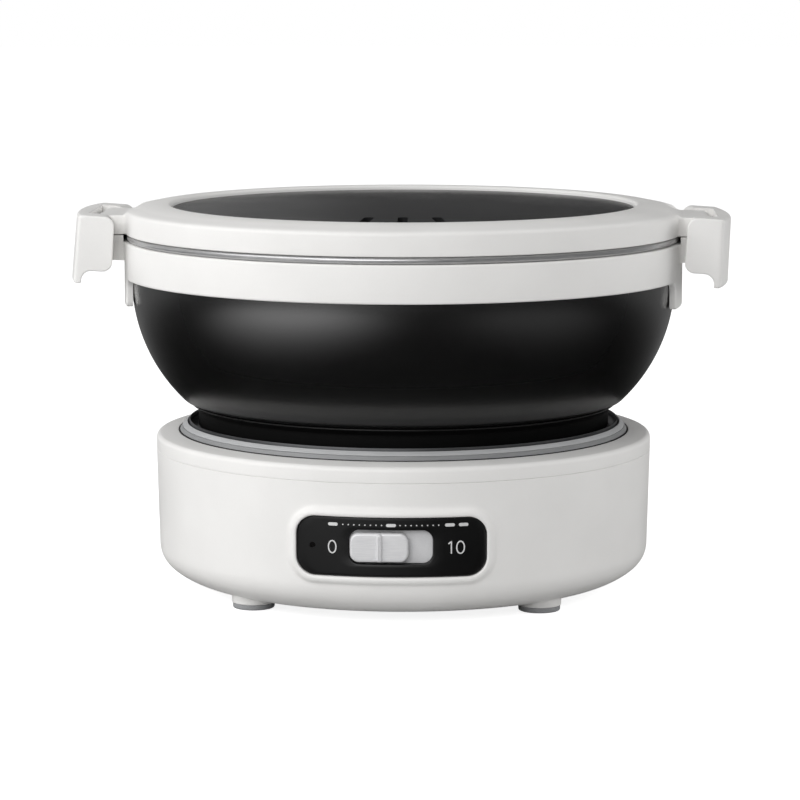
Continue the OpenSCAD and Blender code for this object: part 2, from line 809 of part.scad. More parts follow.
module sensor_cap() {
    inner_r = sensor_r - sensor_wall;
    color("gainsboro") rotate_extrude() polygon([
        [0, sensor_top], [sensor_r - 0.5, sensor_top], [sensor_r, sensor_top - 0.5],
        [sensor_r, sensor_low + sensor_wall], [sensor_r + sensor_lip_w, sensor_low + sensor_wall],
        [sensor_r + sensor_lip_w, sensor_low], [inner_r, sensor_low],
        [inner_r, sensor_top - sensor_wall], [0, sensor_top - sensor_wall]
    ]);
}

function spring_point(i) =
    let (t = i / (spring_turns * spring_rings), a = 360 * i / spring_rings)
    [spring_r * cos(a), spring_r * sin(a), spring_low + t * (spring_high - spring_low)];

function spring_ring(i) =
    let (a = 360 * i / spring_rings, p = spring_point(i))
    [for (k = [0 : spring_sides - 1])
        let (b = 360 * k / spring_sides)
        p + spring_wire_r * [cos(b) * cos(a), cos(b) * sin(a), sin(b)]];

module sensor_spring() {
    last = spring_turns * spring_rings;
    points = [for (i = [0 : last]) each spring_ring(i)];
    sides = [
        for (i = [0 : last - 1], k = [0 : spring_sides - 1])
            let (m = (k + 1) % spring_sides, p = i * spring_sides, q = p + spring_sides)
            each [[p + k, q + k, q + m], [p + k, q + m, p + m]]
    ];
    start = [for (k = [1 : spring_sides - 2]) [0, k, k + 1]];
    tail = last * spring_sides;
    end = [for (k = [1 : spring_sides - 2]) [tail, tail + k + 1, tail + k]];
    gaps = [
        for (i = [0 : last - spring_rings])
            norm(spring_point(i + spring_rings) - spring_point(i)) - 2 * spring_wire_r
    ];
    echo("least gap between spring turns", min(gaps));
    color("silver") polyhedron(points, concat(sides, start, end));
}

// Power inlet: a cavity with two bevelled corners, open to the back
module inlet_cavity() {
    difference() {
        translate([0, inlet_z]) square([inlet_w, inlet_h], center = true);
        for (side = [-1, 1])
            translate([side * inlet_w / 2, inlet_z + inlet_h / 2]) rotate(45)
                square(inlet_bevel * sqrt(2), center = true);
    }
}

module inlet_socket() {
    front_y = inlet_face_y + inlet_flange_t;
    floor_y = front_y - inlet_d;
    color([0.1, 0.1, 0.1])
    difference() {
        union() {
            along_y(floor_y - inlet_wall, front_y) inlet_outline(0);
            along_y(inlet_face_y, front_y) inlet_outline(inlet_flange);
        }
        along_y(floor_y, front_y + 1) inlet_cavity();
        inlet_pin_shapes(play / 4);
    }
}

module inlet_pin_shapes(grow) {
    front_y = inlet_face_y + inlet_flange_t;
    back_y = front_y - inlet_d - inlet_wall - inlet_tail;
    for (x = [-pin_pitch / 2, 0, pin_pitch / 2])
        along_y(back_y, front_y - inlet_pin_recess)
            translate([x, inlet_z + (x == 0 ? inlet_pin_offset : -inlet_pin_offset)])
                square([inlet_pin_t + 2 * grow, inlet_pin_h + 2 * grow], center = true);
}

module inlet_pins() {
    color("gold") inlet_pin_shapes(0);
}

// Pot: foot with a flared edge, groove, and a bowl that turns under
module pot_bowl() {
    foot_top = pot_z + pot_foot_h;
    flare_r = pot_foot_r + foot_flare;
    color([0.08, 0.08, 0.09])
    rotate_extrude() difference() {
        union() {
            polygon([
                [0, pot_z], [pot_foot_r - foot_bevel, pot_z], [pot_foot_r, pot_z + foot_bevel],
                [pot_foot_r, foot_top - foot_flare], [flare_r, foot_top - 0.4], [flare_r, foot_top],
                [groove_r, foot_top], [groove_r, bowl_low], [turn_c[0], bowl_low],
                polar(bowl_c, bowl_arc_r, turn_a), [pot_r, bowl_c[1]], [pot_r, pot_top], [0, pot_top]
            ]);
            arc_cap(turn_c, bowl_turn_r, -90, turn_a);
            arc_cap(bowl_c, bowl_arc_r, turn_a, 0);
        }
        polygon([
            [0, inner_c[1] - floor_drop], polar(inner_c, inner_arc_r, floor_a), [inner_c[0] + inner_arc_r, inner_c[1]],
            [inner_c[0] + inner_arc_r, pot_top + 1], [0, pot_top + 1]
        ]);
        arc_cap(inner_c, inner_arc_r, floor_a, 0);
        disc([pot_r + play, (collar_low + collar_top) / 2], collar_snap_r + play / 2);
    }
}

// Steel rim folded over the pot's edge, with a rolled bead outside
module pot_rim() {
    bead_c = [pot_r + play + bead_r - 0.9, collar_top + play / 2 + bead_r];
    slot_in = pot_r - pot_wall - play / 4;
    color("gainsboro")
    rotate_extrude() difference() {
        union() {
            disc(bead_c, bead_r);
            translate([rim_in_r, pot_top]) square([bead_c[0] - rim_in_r, rim_top - pot_top]);
            translate([rim_in_r, pot_top - rim_lip_h]) square([rim_lip_t, rim_lip_h + rim_top - pot_top]);
        }
        translate([slot_in, 0]) square([pot_wall + play / 2, pot_top + play / 4]);
    }
}

// Plan outline of a wing on the right side, with fillets into the ring that carries it
module wing_plan(ring_r, inner_r, tip_x, half_w) {
    c_r = ring_r + wing_fillet - 0.06;
    c_y = half_w + wing_fillet;
    c_x = sqrt(c_r * c_r - c_y * c_y);
    root = (inner_r - 1) / c_r;
    difference() {
        polygon([
            [c_x * root, -c_y * root], [c_x, -c_y], [c_x, -half_w], [tip_x, -half_w],
            [tip_x, half_w], [c_x, half_w], [c_x, c_y], [c_x * root, c_y * root]
        ]);
        circle(inner_r);
        disc([c_x, c_y], wing_fillet);
        disc([c_x, -c_y], wing_fillet);
    }
}

module both_sides() {
    children();
    mirror([1, 0, 0]) children();
}

// Outline of an apron seen from the side, with fillets at the collar's lower edge
module apron_outline() {
    low = collar_low - apron_drop;
    corner = 2;
    translate([-apron_half_w + corner, low]) square([2 * (apron_half_w - corner), apron_drop + overlap]);
    translate([-apron_half_w, low + corner]) square([2 * apron_half_w, apron_drop - corner + overlap]);
    for (side = [-1, 1]) {
        disc([side * (apron_half_w - corner), low + corner], corner);
        difference() {
            translate([side * (apron_half_w + apron_fillet / 2), collar_low - (apron_fillet - overlap) / 2])
                square([apron_fillet, apron_fillet + overlap], center = true);
            disc([side * (apron_half_w + apron_fillet), collar_low - apron_fillet], apron_fillet);
        }
    }
}

module collar_wing() {
    tip = collar_wing_x;
    low = collar_wing_low;
    intersection() {
        union() {
            translate([0, 0, low]) linear_extrude(collar_top - low)
                wing_plan(collar_r, pot_r + play + collar_wall / 2, tip, wing_half_w);
            difference() {
                translate([0, 0, low]) linear_extrude(collar_wing_h)
                    wing_plan(collar_r, pot_r + play + collar_wall / 2, tip, wing_half_w);
                ring(0, collar_r + swing_gap, collar_top, far);
            }
        }
        along_y(-far, far) {
            polygon([
                [0, low], [tip - collar_wing_round, low], [tip, low + collar_wing_round],
                [tip, collar_wing_top], [0, collar_wing_top]
            ]);
            arc_cap([tip - collar_wing_round, low + collar_wing_round], collar_wing_round, -90, 0);
        }
    }
}

module collar() {
    in_r = pot_r + play;
    edge = 0.7;
    color("white") {
        rotate_extrude() {
            polygon([
                [in_r, collar_low], [collar_r - edge, collar_low], [collar_r, collar_low + edge],
                [collar_r, collar_top - edge], [collar_r - edge, collar_top], [in_r, collar_top]
            ]);
            arc_cap([collar_r - edge, collar_low + edge], edge, -90, 0);
            arc_cap([collar_r - edge, collar_top - edge], edge, 0, 90);
            intersection() {
                disc([in_r, (collar_low + collar_top) / 2], collar_snap_r);
                translate([0, collar_low]) square([in_r + overlap, collar_h]);
            }
        }
        both_sides() collar_wing();
        both_sides() intersection() {
            ring(in_r, collar_r, collar_low - apron_drop, collar_low + overlap);
            rotate(90) along_y(-far, 0) apron_outline();
        }
    }
}

// Lid: crowned top, outer band, seal groove, skirt into the pot, and a ledge for the window
module lid_section() {
    band_in = seal_out_r() + play;
    skirt_out = rim_in_r - 2 * swing_gap;
    skirt_in = skirt_out - lid_wall;
    ledge_low_z = window_low - lid_wall;
    roof = lid_low + seal_h + play;
    difference() {
        union() {
            polygon([
                [lip_r, lid_low - skirt_drop], [lid_r, lid_low - skirt_drop], [lid_r, edge_c[1]],
                polar(edge_c, lid_edge_r, edge_a), polar(crown_c, lid_crown_arc, 90), [lip_r, lip_top]
            ]);
            arc_cap(edge_c, lid_edge_r, 0, edge_a);
            arc_cap(crown_c, lid_crown_arc, edge_a, 90);
            intersection() {
                disc(crown_c, lid_crown_arc);
                translate([lip_r, window_low]) square([lid_crown_in, far]);
            }
            translate([lip_r - ledge_w, ledge_low_z]) square([ledge_w + lid_wall, lid_wall]);
        }
        translate([lip_r + lid_wall, 0]) square([skirt_in - lip_r - lid_wall, lid_low + lid_h - 2 * lid_wall - 1]);
        translate([0, 0]) square([lip_r + lid_wall + overlap, ledge_low_z]);
        translate([skirt_out, 0]) square([far, lid_low]);
        translate([skirt_out, 0]) square([band_in - skirt_out, roof]);
    }
}

function seal_out_r() = rim_in_r + seal_w;

module lid_frame() {
    color("white")
    difference() {
        union() {
            rotate_extrude() lid_section();
            both_sides() lid_wing();
        }
        both_sides() translate([pin_x, 0, pin_z]) rotate([90, 0, 0])
            cylinder(r = pin_r + pin_play / 2, h = 3 * wing_half_w, center = true);
    }
}

module lid_wing() {
    intersection() {
        translate([0, 0, lid_low]) linear_extrude(lid_wing_h)
            wing_plan(lid_r, lid_r - (lid_r - seal_out_r() - play) / 2, pin_x + nose_r, wing_half_w);
        along_y(-far, far) {
            translate([0, lid_low]) square([pin_x, lid_wing_h]);
            disc([pin_x, pin_z], nose_r);
        }
    }
}

// Dark window with fanned vents near the front
module vent_outline() {
    half = (vent_l - vent_w) / 2;
    square([vent_w, 2 * half], center = true);
    for (end = [-1, 1]) disc([0, end * half], vent_w / 2);
}

module lid_window() {
    edge = 0.5;
    r = lip_r - play;
    color([0.2, 0.2, 0.21])
    difference() {
        rotate_extrude() polygon([
            [0, window_low], [r, window_low], [r, window_top - edge], [r - edge, window_top], [0, window_top]
        ]);
        for (i = [-1 : 1])
            rotate(window_turn) translate([i * vent_pitch, -vent_y, window_low - 1]) rotate(i * vent_fan)
                linear_extrude(window_t + 2) vent_outline();
    }
}

module lid_seal() {
    in_r = rim_in_r - play;
    color("dimgray") rotate_extrude()
        translate([in_r, rim_top]) square([seal_out_r() - in_r, seal_h]);
}

module hinge_pins() {
    half_l = wing_half_w + swing_gap + pin_grip;
    color("silver") both_sides() translate([pin_x, 0, pin_z]) rotate([90, 0, 0])
        cylinder(r = pin_r, h = 2 * half_l, center = true);
}

// Latch: side outline of a cheek with its finger lip
module latch_outline() {
    in_x = pin_x - cheek_in;
    lip_x = latch_tip_r - lip_t;
    top_c = [in_x + cheek_top_round, latch_top - cheek_top_round];
    low_c = [in_x + cheek_low_round, cheek_low + cheek_low_round];
    polygon([
        [top_c[0], latch_top], [far, latch_top], [far, lip_low], [lip_x, lip_low], [lip_x, cheek_low],
        [low_c[0], cheek_low], [in_x, low_c[1]], [in_x, top_c[1]]
    ]);
    arc_cap(top_c, cheek_top_round, 90, 180);
    arc_cap(low_c, cheek_low_round, 180, 270);
    difference() {
        translate([lip_x - lip_fillet, cheek_low - lip_fillet]) square([lip_fillet + overlap, lip_fillet + overlap]);
        disc([lip_x - lip_fillet, cheek_low - lip_fillet], lip_fillet);
    }
}

// Drum that gives a latch its outer face, round the pot's axis
module latch_drum() {
    c = [latch_r - latch_edge_r, latch_top - latch_edge_r];
    tip = [latch_tip_r - latch_edge_r, lip_low + latch_edge_r];
    rotate_extrude() {
        polygon([
            [0, lip_low], [tip[0], lip_low], [latch_tip_r, tip[1]], [latch_r, c[1]], [c[0], latch_top], [0, latch_top]
        ]);
        arc_cap(c, latch_edge_r, 0, 90);
        arc_cap(tip, latch_edge_r, -90, 0);
    }
}

// Right latch: two cheeks round the wings, joined by the outer wall with its snap rib
module latch() {
    pocket_half = wing_half_w + swing_gap;
    rib_z = (collar_wing_low + collar_wing_top) / 2;
    bore_half = pocket_half + pin_grip + play;
    color("white")
    difference() {
        union() {
            difference() {
                intersection() {
                    latch_drum();
                    along_y(-latch_half_w, latch_half_w) latch_outline();
                }
                translate([0, -pocket_half, 0]) cube([pocket_x, 2 * pocket_half, far]);
            }
            along_y(-snap_rib_half_l, snap_rib_half_l) disc([pocket_x, rib_z], snap_rib_r);
        }
        translate([pin_x, 0, pin_z]) rotate([90, 0, 0])
            cylinder(r = pin_r + pin_play, h = 2 * bore_half, center = true);
    }
}

module latch_right() {
    latch();
}

module latch_left() {
    mirror([1, 0, 0]) latch();
}

housing();
top_cover();
foot_pads();
base_screws();
control_panel();
slot_bed();
indicator_lens();
slide_switch();
control_board();
slider_knob();
heat_ring();
heating_plate();
heating_element();
plate_posts();
heat_shield();
sensor_cup();
sensor_spring();
sensor_cap();
inlet_socket();
inlet_pins();
pot_bowl();
pot_rim();
collar();
lid_frame();
lid_window();
lid_seal();
hinge_pins();
latch_left();
latch_right();
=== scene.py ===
"""Visual model of an electric travel cooker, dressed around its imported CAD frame."""

import logging
import math
from dataclasses import dataclass
from enum import Enum
from typing import Iterable, Sequence

import bmesh
import bpy
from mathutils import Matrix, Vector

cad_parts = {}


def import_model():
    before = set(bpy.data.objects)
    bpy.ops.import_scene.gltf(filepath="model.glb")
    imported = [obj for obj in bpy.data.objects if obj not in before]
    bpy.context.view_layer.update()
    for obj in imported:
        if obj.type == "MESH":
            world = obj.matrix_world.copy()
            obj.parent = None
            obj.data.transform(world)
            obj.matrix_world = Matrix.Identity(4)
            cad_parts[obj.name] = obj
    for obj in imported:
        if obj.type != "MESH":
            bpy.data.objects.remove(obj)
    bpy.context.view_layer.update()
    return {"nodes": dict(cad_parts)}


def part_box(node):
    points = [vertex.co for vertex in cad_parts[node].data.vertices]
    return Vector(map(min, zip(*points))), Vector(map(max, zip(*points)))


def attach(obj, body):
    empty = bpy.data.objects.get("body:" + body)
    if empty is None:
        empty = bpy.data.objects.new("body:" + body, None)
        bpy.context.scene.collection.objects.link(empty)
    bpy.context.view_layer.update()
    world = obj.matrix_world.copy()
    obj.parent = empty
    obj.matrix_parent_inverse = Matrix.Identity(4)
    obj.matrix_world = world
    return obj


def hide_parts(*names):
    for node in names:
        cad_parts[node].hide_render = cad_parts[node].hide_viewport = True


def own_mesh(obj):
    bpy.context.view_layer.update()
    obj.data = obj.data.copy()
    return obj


LOG = logging.getLogger("travel_cooker")
MM = 0.001
COLUMNS = 288
CREASE = 33.0
MERGE = 3e-6
SLIVER = 1e-6
Point2 = tuple[float, float]
Point3 = tuple[float, float, float]
Corner = tuple[float, float, float]
Colour = tuple[float, float, float]
Socket = bpy.types.NodeSocket
Sockets = bpy.types.bpy_prop_collection


# Outlines


def lerp(a: float, b: float, t: float) -> float:
    """Value between a and b."""
    return a + (b - a) * t


def ease(t: float) -> float:
    """Smooth step from 0 to 1."""
    t = min(max(t, 0.0), 1.0)
    return t * t * (3.0 - 2.0 * t)


def arc(centre: Point2, radius: float, start: float, end: float, steps: int) -> list[Point2]:
    """Points along an arc.

    Args:
        centre: Centre of the arc.
        radius: Radius of the arc.
        start: First angle in degrees.
        end: Last angle in degrees.
        steps: Number of chords.

    Returns:
        The points, ends included.
    """
    points = []
    for i in range(steps + 1):
        a = math.radians(lerp(start, end, i / steps))
        points.append((centre[0] + radius * math.cos(a), centre[1] + radius * math.sin(a)))
    return points


def rounded(corners: Sequence[Corner], closed: bool = True, steps: int = 5) -> list[Point2]:
    """Outline through corners that are each rounded by their own radius.

    Args:
        corners: Corner points with a radius each, 0 for a sharp one.
        closed: Whether the last corner joins the first.
        steps: Chords in each rounding.

    Returns:
        The points of the outline.
    """
    points: list[Point2] = []
    count = len(corners)
    for i, (x, y, r) in enumerate(corners):
        is_end = not closed and i in (0, count - 1)
        if r <= 0.0 or is_end:
            points.append((x, y))
            continue
        ax, ay = corners[i - 1][:2]
        bx, by = corners[(i + 1) % count][:2]
        la = math.hypot(ax - x, ay - y)
        lb = math.hypot(bx - x, by - y)
        ux, uy = (ax - x) / la, (ay - y) / la
        vx, vy = (bx - x) / lb, (by - y) / lb
        half = 0.5 * math.acos(min(max(ux * vx + uy * vy, -1.0), 1.0))
        reach = min(r / math.tan(half), 0.49 * la, 0.49 * lb)
        r = reach * math.tan(half)
        mx, my = ux + vx, uy + vy
        size = math.hypot(mx, my)
        cx = x + mx / size * r / math.sin(half)
        cy = y + my / size * r / math.sin(half)
        start = math.atan2(y + uy * reach - cy, x + ux * reach - cx)
        end = math.atan2(y + vy * reach - cy, x + vx * reach - cx)
        turn = (end - start + math.pi) % (2.0 * math.pi) - math.pi
        for k in range(steps + 1):
            a = start + turn * k / steps
            points.append((cx + r * math.cos(a), cy + r * math.sin(a)))
    return points


def rounded_rect(half_w: float, half_h: float, radius: float, steps: int = 10) -> list[Point2]:
    """Rounded rectangle round the origin, counter-clockwise from its lower right corner."""
    corners = [(half_w, -half_h, radius), (half_w, half_h, radius), (-half_w, half_h, radius),
               (-half_w, -half_h, radius)]
    return rounded(corners, True, steps)


def inset(outline: Sequence[Point2], depth: float) -> list[Point2]:
    """Closed counter-clockwise outline, moved inwards along its own normals."""
    count = len(outline)
    moved = []
    for i, (x, y) in enumerate(outline):
        ax, ay = outline[i - 1]
        bx, by = outline[(i + 1) % count]
        step = depth / (math.hypot(bx - ax, by - ay) or 1.0)
        moved.append((x - (by - ay) * step, y + (bx - ax) * step))
    return moved


def split_runs(outline: Sequence[Point2], least: float, parts: int) -> list[Point2]:
    """Closed outline with each run longer than least cut into equal parts."""
    points: list[Point2] = []
    for i, (x, y) in enumerate(outline):
        bx, by = outline[(i + 1) % len(outline)]
        count = parts if math.hypot(bx - x, by - y) > least else 1
        for k in range(count):
            points.append((lerp(x, bx, k / count), lerp(y, by, k / count)))
    return points


class Form:
    """Mesh that grows row by row, in millimetres."""

    def __init__(self) -> None:
        """Starts empty."""
        self.points: list[Point3] = []
        self.faces: list[tuple[int, ...]] = []

    def row(self, points: Iterable[Point3]) -> list[int]:
        """Adds points and returns their numbers."""
        first = len(self.points)
        self.points.extend(points)
        return list(range(first, len(self.points)))

    def bridge(self, a: Sequence[int], b: Sequence[int]) -> None:
        """Joins two loops of equal length by quads."""
        for i in range(len(a)):
            j = (i + 1) % len(a)
            self.faces.append((a[i], a[j], b[j], b[i]))

    def cap(self, row: Sequence[int]) -> None:
        """Closes a row by one face."""
        self.faces.append(tuple(row))

    def skin(self, rows: Sequence[Sequence[int]], looped: bool = False) -> None:
        """Joins rows one after another, each a loop, and the last to the first where that is looped too."""
        for a, b in zip(rows, rows[1:]):
            self.bridge(a, b)
        if looped:
            self.bridge(rows[-1], rows[0])

    def close(self, rows: Sequence[Sequence[int]]) -> None:
        """Joins rows one after another and closes both ends."""
        self.skin(rows)
        self.cap(rows[0])
        self.cap(rows[-1])

    def lathe(self, outline: Sequence[Point2], looped: bool = True, count: int = COLUMNS) -> None:
        """Turns an outline of radius and height round the upright axis.

        Args:
            outline: Radius and height of each point.
            looped: Whether the outline is closed; an open one ends on the axis.
            count: Columns round the axis.
        """
        turns = [2.0 * math.pi * k / count for k in range(count)]
        rows = [self.row((r * math.cos(a), r * math.sin(a), z) for a in turns) for r, z in outline]
        self.skin(rows, looped)

    def build(self, name: str) -> bpy.types.Object:
        """Returns the mesh object at the origin, with doubles merged, normals outwards and smooth shading."""
        mesh = bpy.data.meshes.new(name)
        mesh.from_pydata([(x * MM, y * MM, z * MM) for x, y, z in self.points], [], self.faces)
        clean_mesh(mesh)
        smooth_mesh(mesh)
        piece = bpy.data.objects.new(name, mesh)
        bpy.context.scene.collection.objects.link(piece)
        return piece


def clean_mesh(mesh: bpy.types.Mesh) -> None:
    """Merges doubles, drops loose points and turns the faces outwards."""
    work = bmesh.new()
    work.from_mesh(mesh)
    bmesh.ops.remove_doubles(work, verts=work.verts, dist=MERGE)
    bmesh.ops.dissolve_degenerate(work, edges=work.edges, dist=SLIVER)
    loose = [v for v in work.verts if not v.link_faces]
    bmesh.ops.delete(work, geom=loose, context="VERTS")
    bmesh.ops.recalc_face_normals(work, faces=work.faces)
    work.to_mesh(mesh)
    work.free()


def smooth_mesh(mesh: bpy.types.Mesh, crease: float = CREASE) -> None:
    """Shades a mesh smooth but for edges sharper than an angle in degrees."""
    mesh.shade_smooth()
    mesh.set_sharp_from_angle(angle=math.radians(crease))


def carve(piece: bpy.types.Object, tool: bpy.types.Object) -> None:
    """Cuts one piece by another, which is then removed."""
    cut = piece.modifiers.new("cut", "BOOLEAN")
    cut.operation = "DIFFERENCE"
    cut.solver = "EXACT"
    cut.object = tool
    settle(piece)
    bpy.data.objects.remove(tool)
    smooth_mesh(piece.data)


def settle(piece: bpy.types.Object) -> None:
    """Turns a piece's modifiers into its plain mesh."""
    bpy.context.view_layer.update()
    graph = bpy.context.evaluated_depsgraph_get()
    mesh = bpy.data.meshes.new_from_object(piece.evaluated_get(graph))
    piece.modifiers.clear()
    mesh.name = piece.name
    piece.data = mesh


# Finishes


def tone(red: int, green: int, blue: int) -> Colour:
    """Linear colour of a display colour from 0 to 255."""
    parts = []
    for value in (red, green, blue):
        v = value / 255.0
        parts.append(v / 12.92 if v <= 0.04045 else ((v + 0.055) / 1.055) ** 2.4)
    return parts[0], parts[1], parts[2]


class Net:
    """Small helper that adds, feeds and links nodes."""

    def __init__(self, tree: bpy.types.NodeTree) -> None:
        """Takes the tree to work in."""
        self.tree = tree

    def feed(self, target: Socket, value: object) -> None:
        """Links a socket to an input, or sets the input's own value."""
        if isinstance(value, Socket):
            self.tree.links.new(value, target)
        else:
            target.default_value = value

    def add(self, kind: str, feeds: dict[str | int, object] | None = None,
            **settings: object) -> bpy.types.Node:
        """Adds a node.

        Args:
            kind: Type of the node.
            feeds: Socket or plain value for each input that isn't left alone.
            settings: Properties of the node.

        Returns:
            The node.
        """
        node = self.tree.nodes.new(kind)
        for key, value in settings.items():
            setattr(node, key, value)
        for key, value in (feeds or {}).items():
            self.feed(node.inputs[key], value)
        return node

    def math(self, operation: str, a: object, b: object = 0.0) -> Socket:
        """Adds a Math node on two sockets or numbers and returns its output."""
        return self.add("ShaderNodeMath", {0: a, 1: b}, operation=operation).outputs[0]

    def times(self, a: object, b: object) -> Socket:
        """Returns a product."""
        return self.math("MULTIPLY", a, b)

    def split(self, vector: Socket) -> Sockets:
        """Returns the X, Y and Z of a vector."""
        return self.add("ShaderNodeSeparateXYZ", {0: vector}).outputs

    def join(self, **parts: object) -> Socket:
        """Returns a vector of the parts X, Y and Z that are given."""
        return self.add("ShaderNodeCombineXYZ", parts).outputs[0]

    def ramp(self, value: Socket, low: float, high: float, top: float, least: float = 0.0) -> Socket:
        """Returns a smooth ramp from least at low to top at high."""
        feeds = {"Value": value, "From Min": low, "From Max": high, "To Min": least, "To Max": top}
        return self.add("ShaderNodeMapRange", feeds, interpolation_type="SMOOTHSTEP").outputs["Result"]


def declare(tree: bpy.types.NodeTree, side: str, **sockets: str) -> None:
    """Adds sockets to one side of a group, INPUT or OUTPUT, each with its type."""
    for name, kind in sockets.items():
        tree.interface.new_socket(name=name, in_out=side, socket_type="NodeSocket" + kind)


class Pattern(Enum):
    """Surface patterns that the finishes share."""

    MOULDED = "Moulded grain"
    COATED = "Sprayed coat"
    TURNED = "Turned rings"
    BRUSHED = "Brushed lines"
    WRAPPED = "Lines round the axis"


class PatternBook:
    """Builds each pattern's node group once."""

    fine_share = {Pattern.MOULDED: 0.25, Pattern.COATED: 0.45}
    line_share = 0.8
    broad_scale = 0.03
    spread = (0.33, 0.67)
    stretch = {Pattern.BRUSHED: 0.04, Pattern.TURNED: 0.0006, Pattern.WRAPPED: 0.004}

    def __init__(self) -> None:
        """Starts with no groups."""
        self.groups: dict[Pattern, bpy.types.NodeTree] = {}

    def group(self, pattern: Pattern) -> bpy.types.NodeTree:
        """Returns the node group of a pattern, made on its first use."""
        if pattern not in self.groups:
            self.groups[pattern] = self.make(pattern)
        return self.groups[pattern]

    def make(self, pattern: Pattern) -> bpy.types.NodeTree:
        """Builds a group with Vector and Scale in, and Mask and Height out."""
        tree = bpy.data.node_groups.new(pattern.value, "ShaderNodeTree")
        declare(tree, "INPUT", Vector="Vector", Scale="Float")
        declare(tree, "OUTPUT", Mask="Float", Height="Float")
        net = Net(tree)
        entry = net.add("NodeGroupInput").outputs
        place, scale = entry["Vector"], entry["Scale"]
        bent = self.bend(net, pattern, place)
        fine = net.add("ShaderNodeTexNoise", {"Vector": bent, "Scale": scale, "Detail": 3.0}).outputs[0]
        wide = net.times(scale, self.broad_scale)
        broad = net.add("ShaderNodeTexNoise", {"Vector": place, "Scale": wide, "Detail": 2.0}).outputs[0]
        share = self.fine_share.get(pattern, self.line_share)
        mixed = net.math("ADD", net.times(fine, share), net.times(broad, 1.0 - share))
        feeds = {"Value": mixed, "From Min": self.spread[0], "From Max": self.spread[1]}
        mask = net.add("ShaderNodeMapRange", feeds).outputs["Result"]
        net.add("NodeGroupOutput", {"Mask": mask, "Height": fine})
        return tree

    def bend(self, net: Net, pattern: Pattern, place: Socket) -> Socket:
        """Turns Object coordinates into the pattern's own, drawn out along its lines."""
        if pattern in self.fine_share:
            return place
        x, y, z = net.split(place)
        stretch = self.stretch[pattern]
        if pattern is Pattern.BRUSHED:
            return net.join(X=net.times(x, stretch), Y=y, Z=z)
        far = net.math("SQRT", net.math("ADD", net.times(x, x), net.times(y, y)))
        turn = net.times(net.math("ARCTAN2", y, x), stretch)
        if pattern is Pattern.TURNED:
            return net.join(X=far, Y=turn, Z=z)
        return net.join(X=turn, Y=far, Z=z)


@dataclass(frozen=True)
class Finish:
    """One material: two tones, a range of roughness and a fine pattern.

    A coat with heights in coat_from is thin below the first of them and full above the second.
    """

    name: str
    light: Colour
    dark: Colour
    rough: Point2
    pattern: Pattern = Pattern.MOULDED
    scale: float = 1500.0
    bump: float = 0.08
    depth: float = 0.00005
    metallic: float = 0.0
    coat: float = 0.0
    coat_rough: float = 0.1
    coat_ior: float = 1.5
    coat_from: Point2 | None = None
    thin_coat: float = 0.12
    specular: float = 0.5
    sheen: float = 0.0

    def build(self, book: PatternBook) -> bpy.types.Material:
        """Makes the node material, with its pattern from the book of shared groups."""
        material = bpy.data.materials.new(self.name)
        material.use_nodes = True
        net = Net(material.node_tree)
        place = net.add("ShaderNodeTexCoord").outputs["Object"]
        feeds = {"Vector": place, "Scale": self.scale}
        grain = net.add("ShaderNodeGroup", feeds, node_tree=book.group(self.pattern)).outputs
        mask = grain["Mask"]
        tones = {0: mask, 6: (*self.dark, 1.0), 7: (*self.light, 1.0)}
        relief = {"Height": grain["Height"], "Strength": self.bump, "Distance": self.depth}
        gloss = {"Value": mask, "To Min": self.rough[0], "To Max": self.rough[1]}
        coat: object = self.coat
        if self.coat_from:
            coat = net.ramp(net.split(place)["Z"], *self.coat_from, self.coat, self.thin_coat * self.coat)
        inputs = {
            "Base Color": net.add("ShaderNodeMix", tones, data_type="RGBA").outputs[2],
            "Roughness": net.add("ShaderNodeMapRange", gloss).outputs["Result"],
            "Normal": net.add("ShaderNodeBump", relief).outputs["Normal"],
            "Metallic": self.metallic, "Specular IOR Level": self.specular, "Sheen Weight": self.sheen,
            "Coat Weight": coat, "Coat Roughness": self.coat_rough, "Coat IOR": self.coat_ior,
        }
        shader = net.tree.nodes["Principled BSDF"]
        for name, value in inputs.items():
            net.feed(shader.inputs[name], value)
        return material


WHITE_SHELL = Finish("White moulded shell", tone(243, 242, 240), tone(239, 238, 236), (0.36, 0.46),
                     specular=0.3)
WHITE_LID = Finish("White lid plastic", tone(243, 242, 240), tone(239, 238, 236), (0.34, 0.44), specular=0.3)
BLACK_COAT = Finish("Black pot coat", tone(21, 21, 21), tone(18, 18, 18), (0.30, 0.36), Pattern.COATED,
                    2600.0, 0.03, 0.00003, coat=1.0, coat_rough=0.22, coat_ior=2.2, coat_from=(0.074, 0.088),
                    specular=0.4)
BLACK_FOOT = Finish("Matt black foot", tone(14, 14, 14), tone(10, 10, 10), (0.5, 0.6), Pattern.WRAPPED,
                    2600.0, 0.05, 0.00003, specular=0.08)
# Lighter, slightly metallic grey ring on the foot's flare edge: a painted highlight for the light that this
# edge catches.
FOOT_EDGE_PAINTED_HIGHLIGHT = Finish("Foot edge painted highlight", tone(48, 48, 48), tone(38, 38, 38), (0.26, 0.34), Pattern.WRAPPED,
                   2600.0, metallic=0.3)
GASKET = Finish("Black gasket", tone(26, 26, 26), tone(18, 18, 18), (0.55, 0.65), Pattern.COATED, 1600.0)
RIM_STEEL = Finish("Bright rim steel", tone(206, 206, 206), tone(180, 180, 182), (0.28, 0.40),
                   Pattern.WRAPPED, 4000.0, 0.06, 0.00003, metallic=0.7)
WINDOW = Finish("Smoked lid window", tone(40, 40, 41), tone(35, 35, 36), (0.19, 0.25), Pattern.COATED,
                900.0, 0.03, 0.00003, specular=0.03)
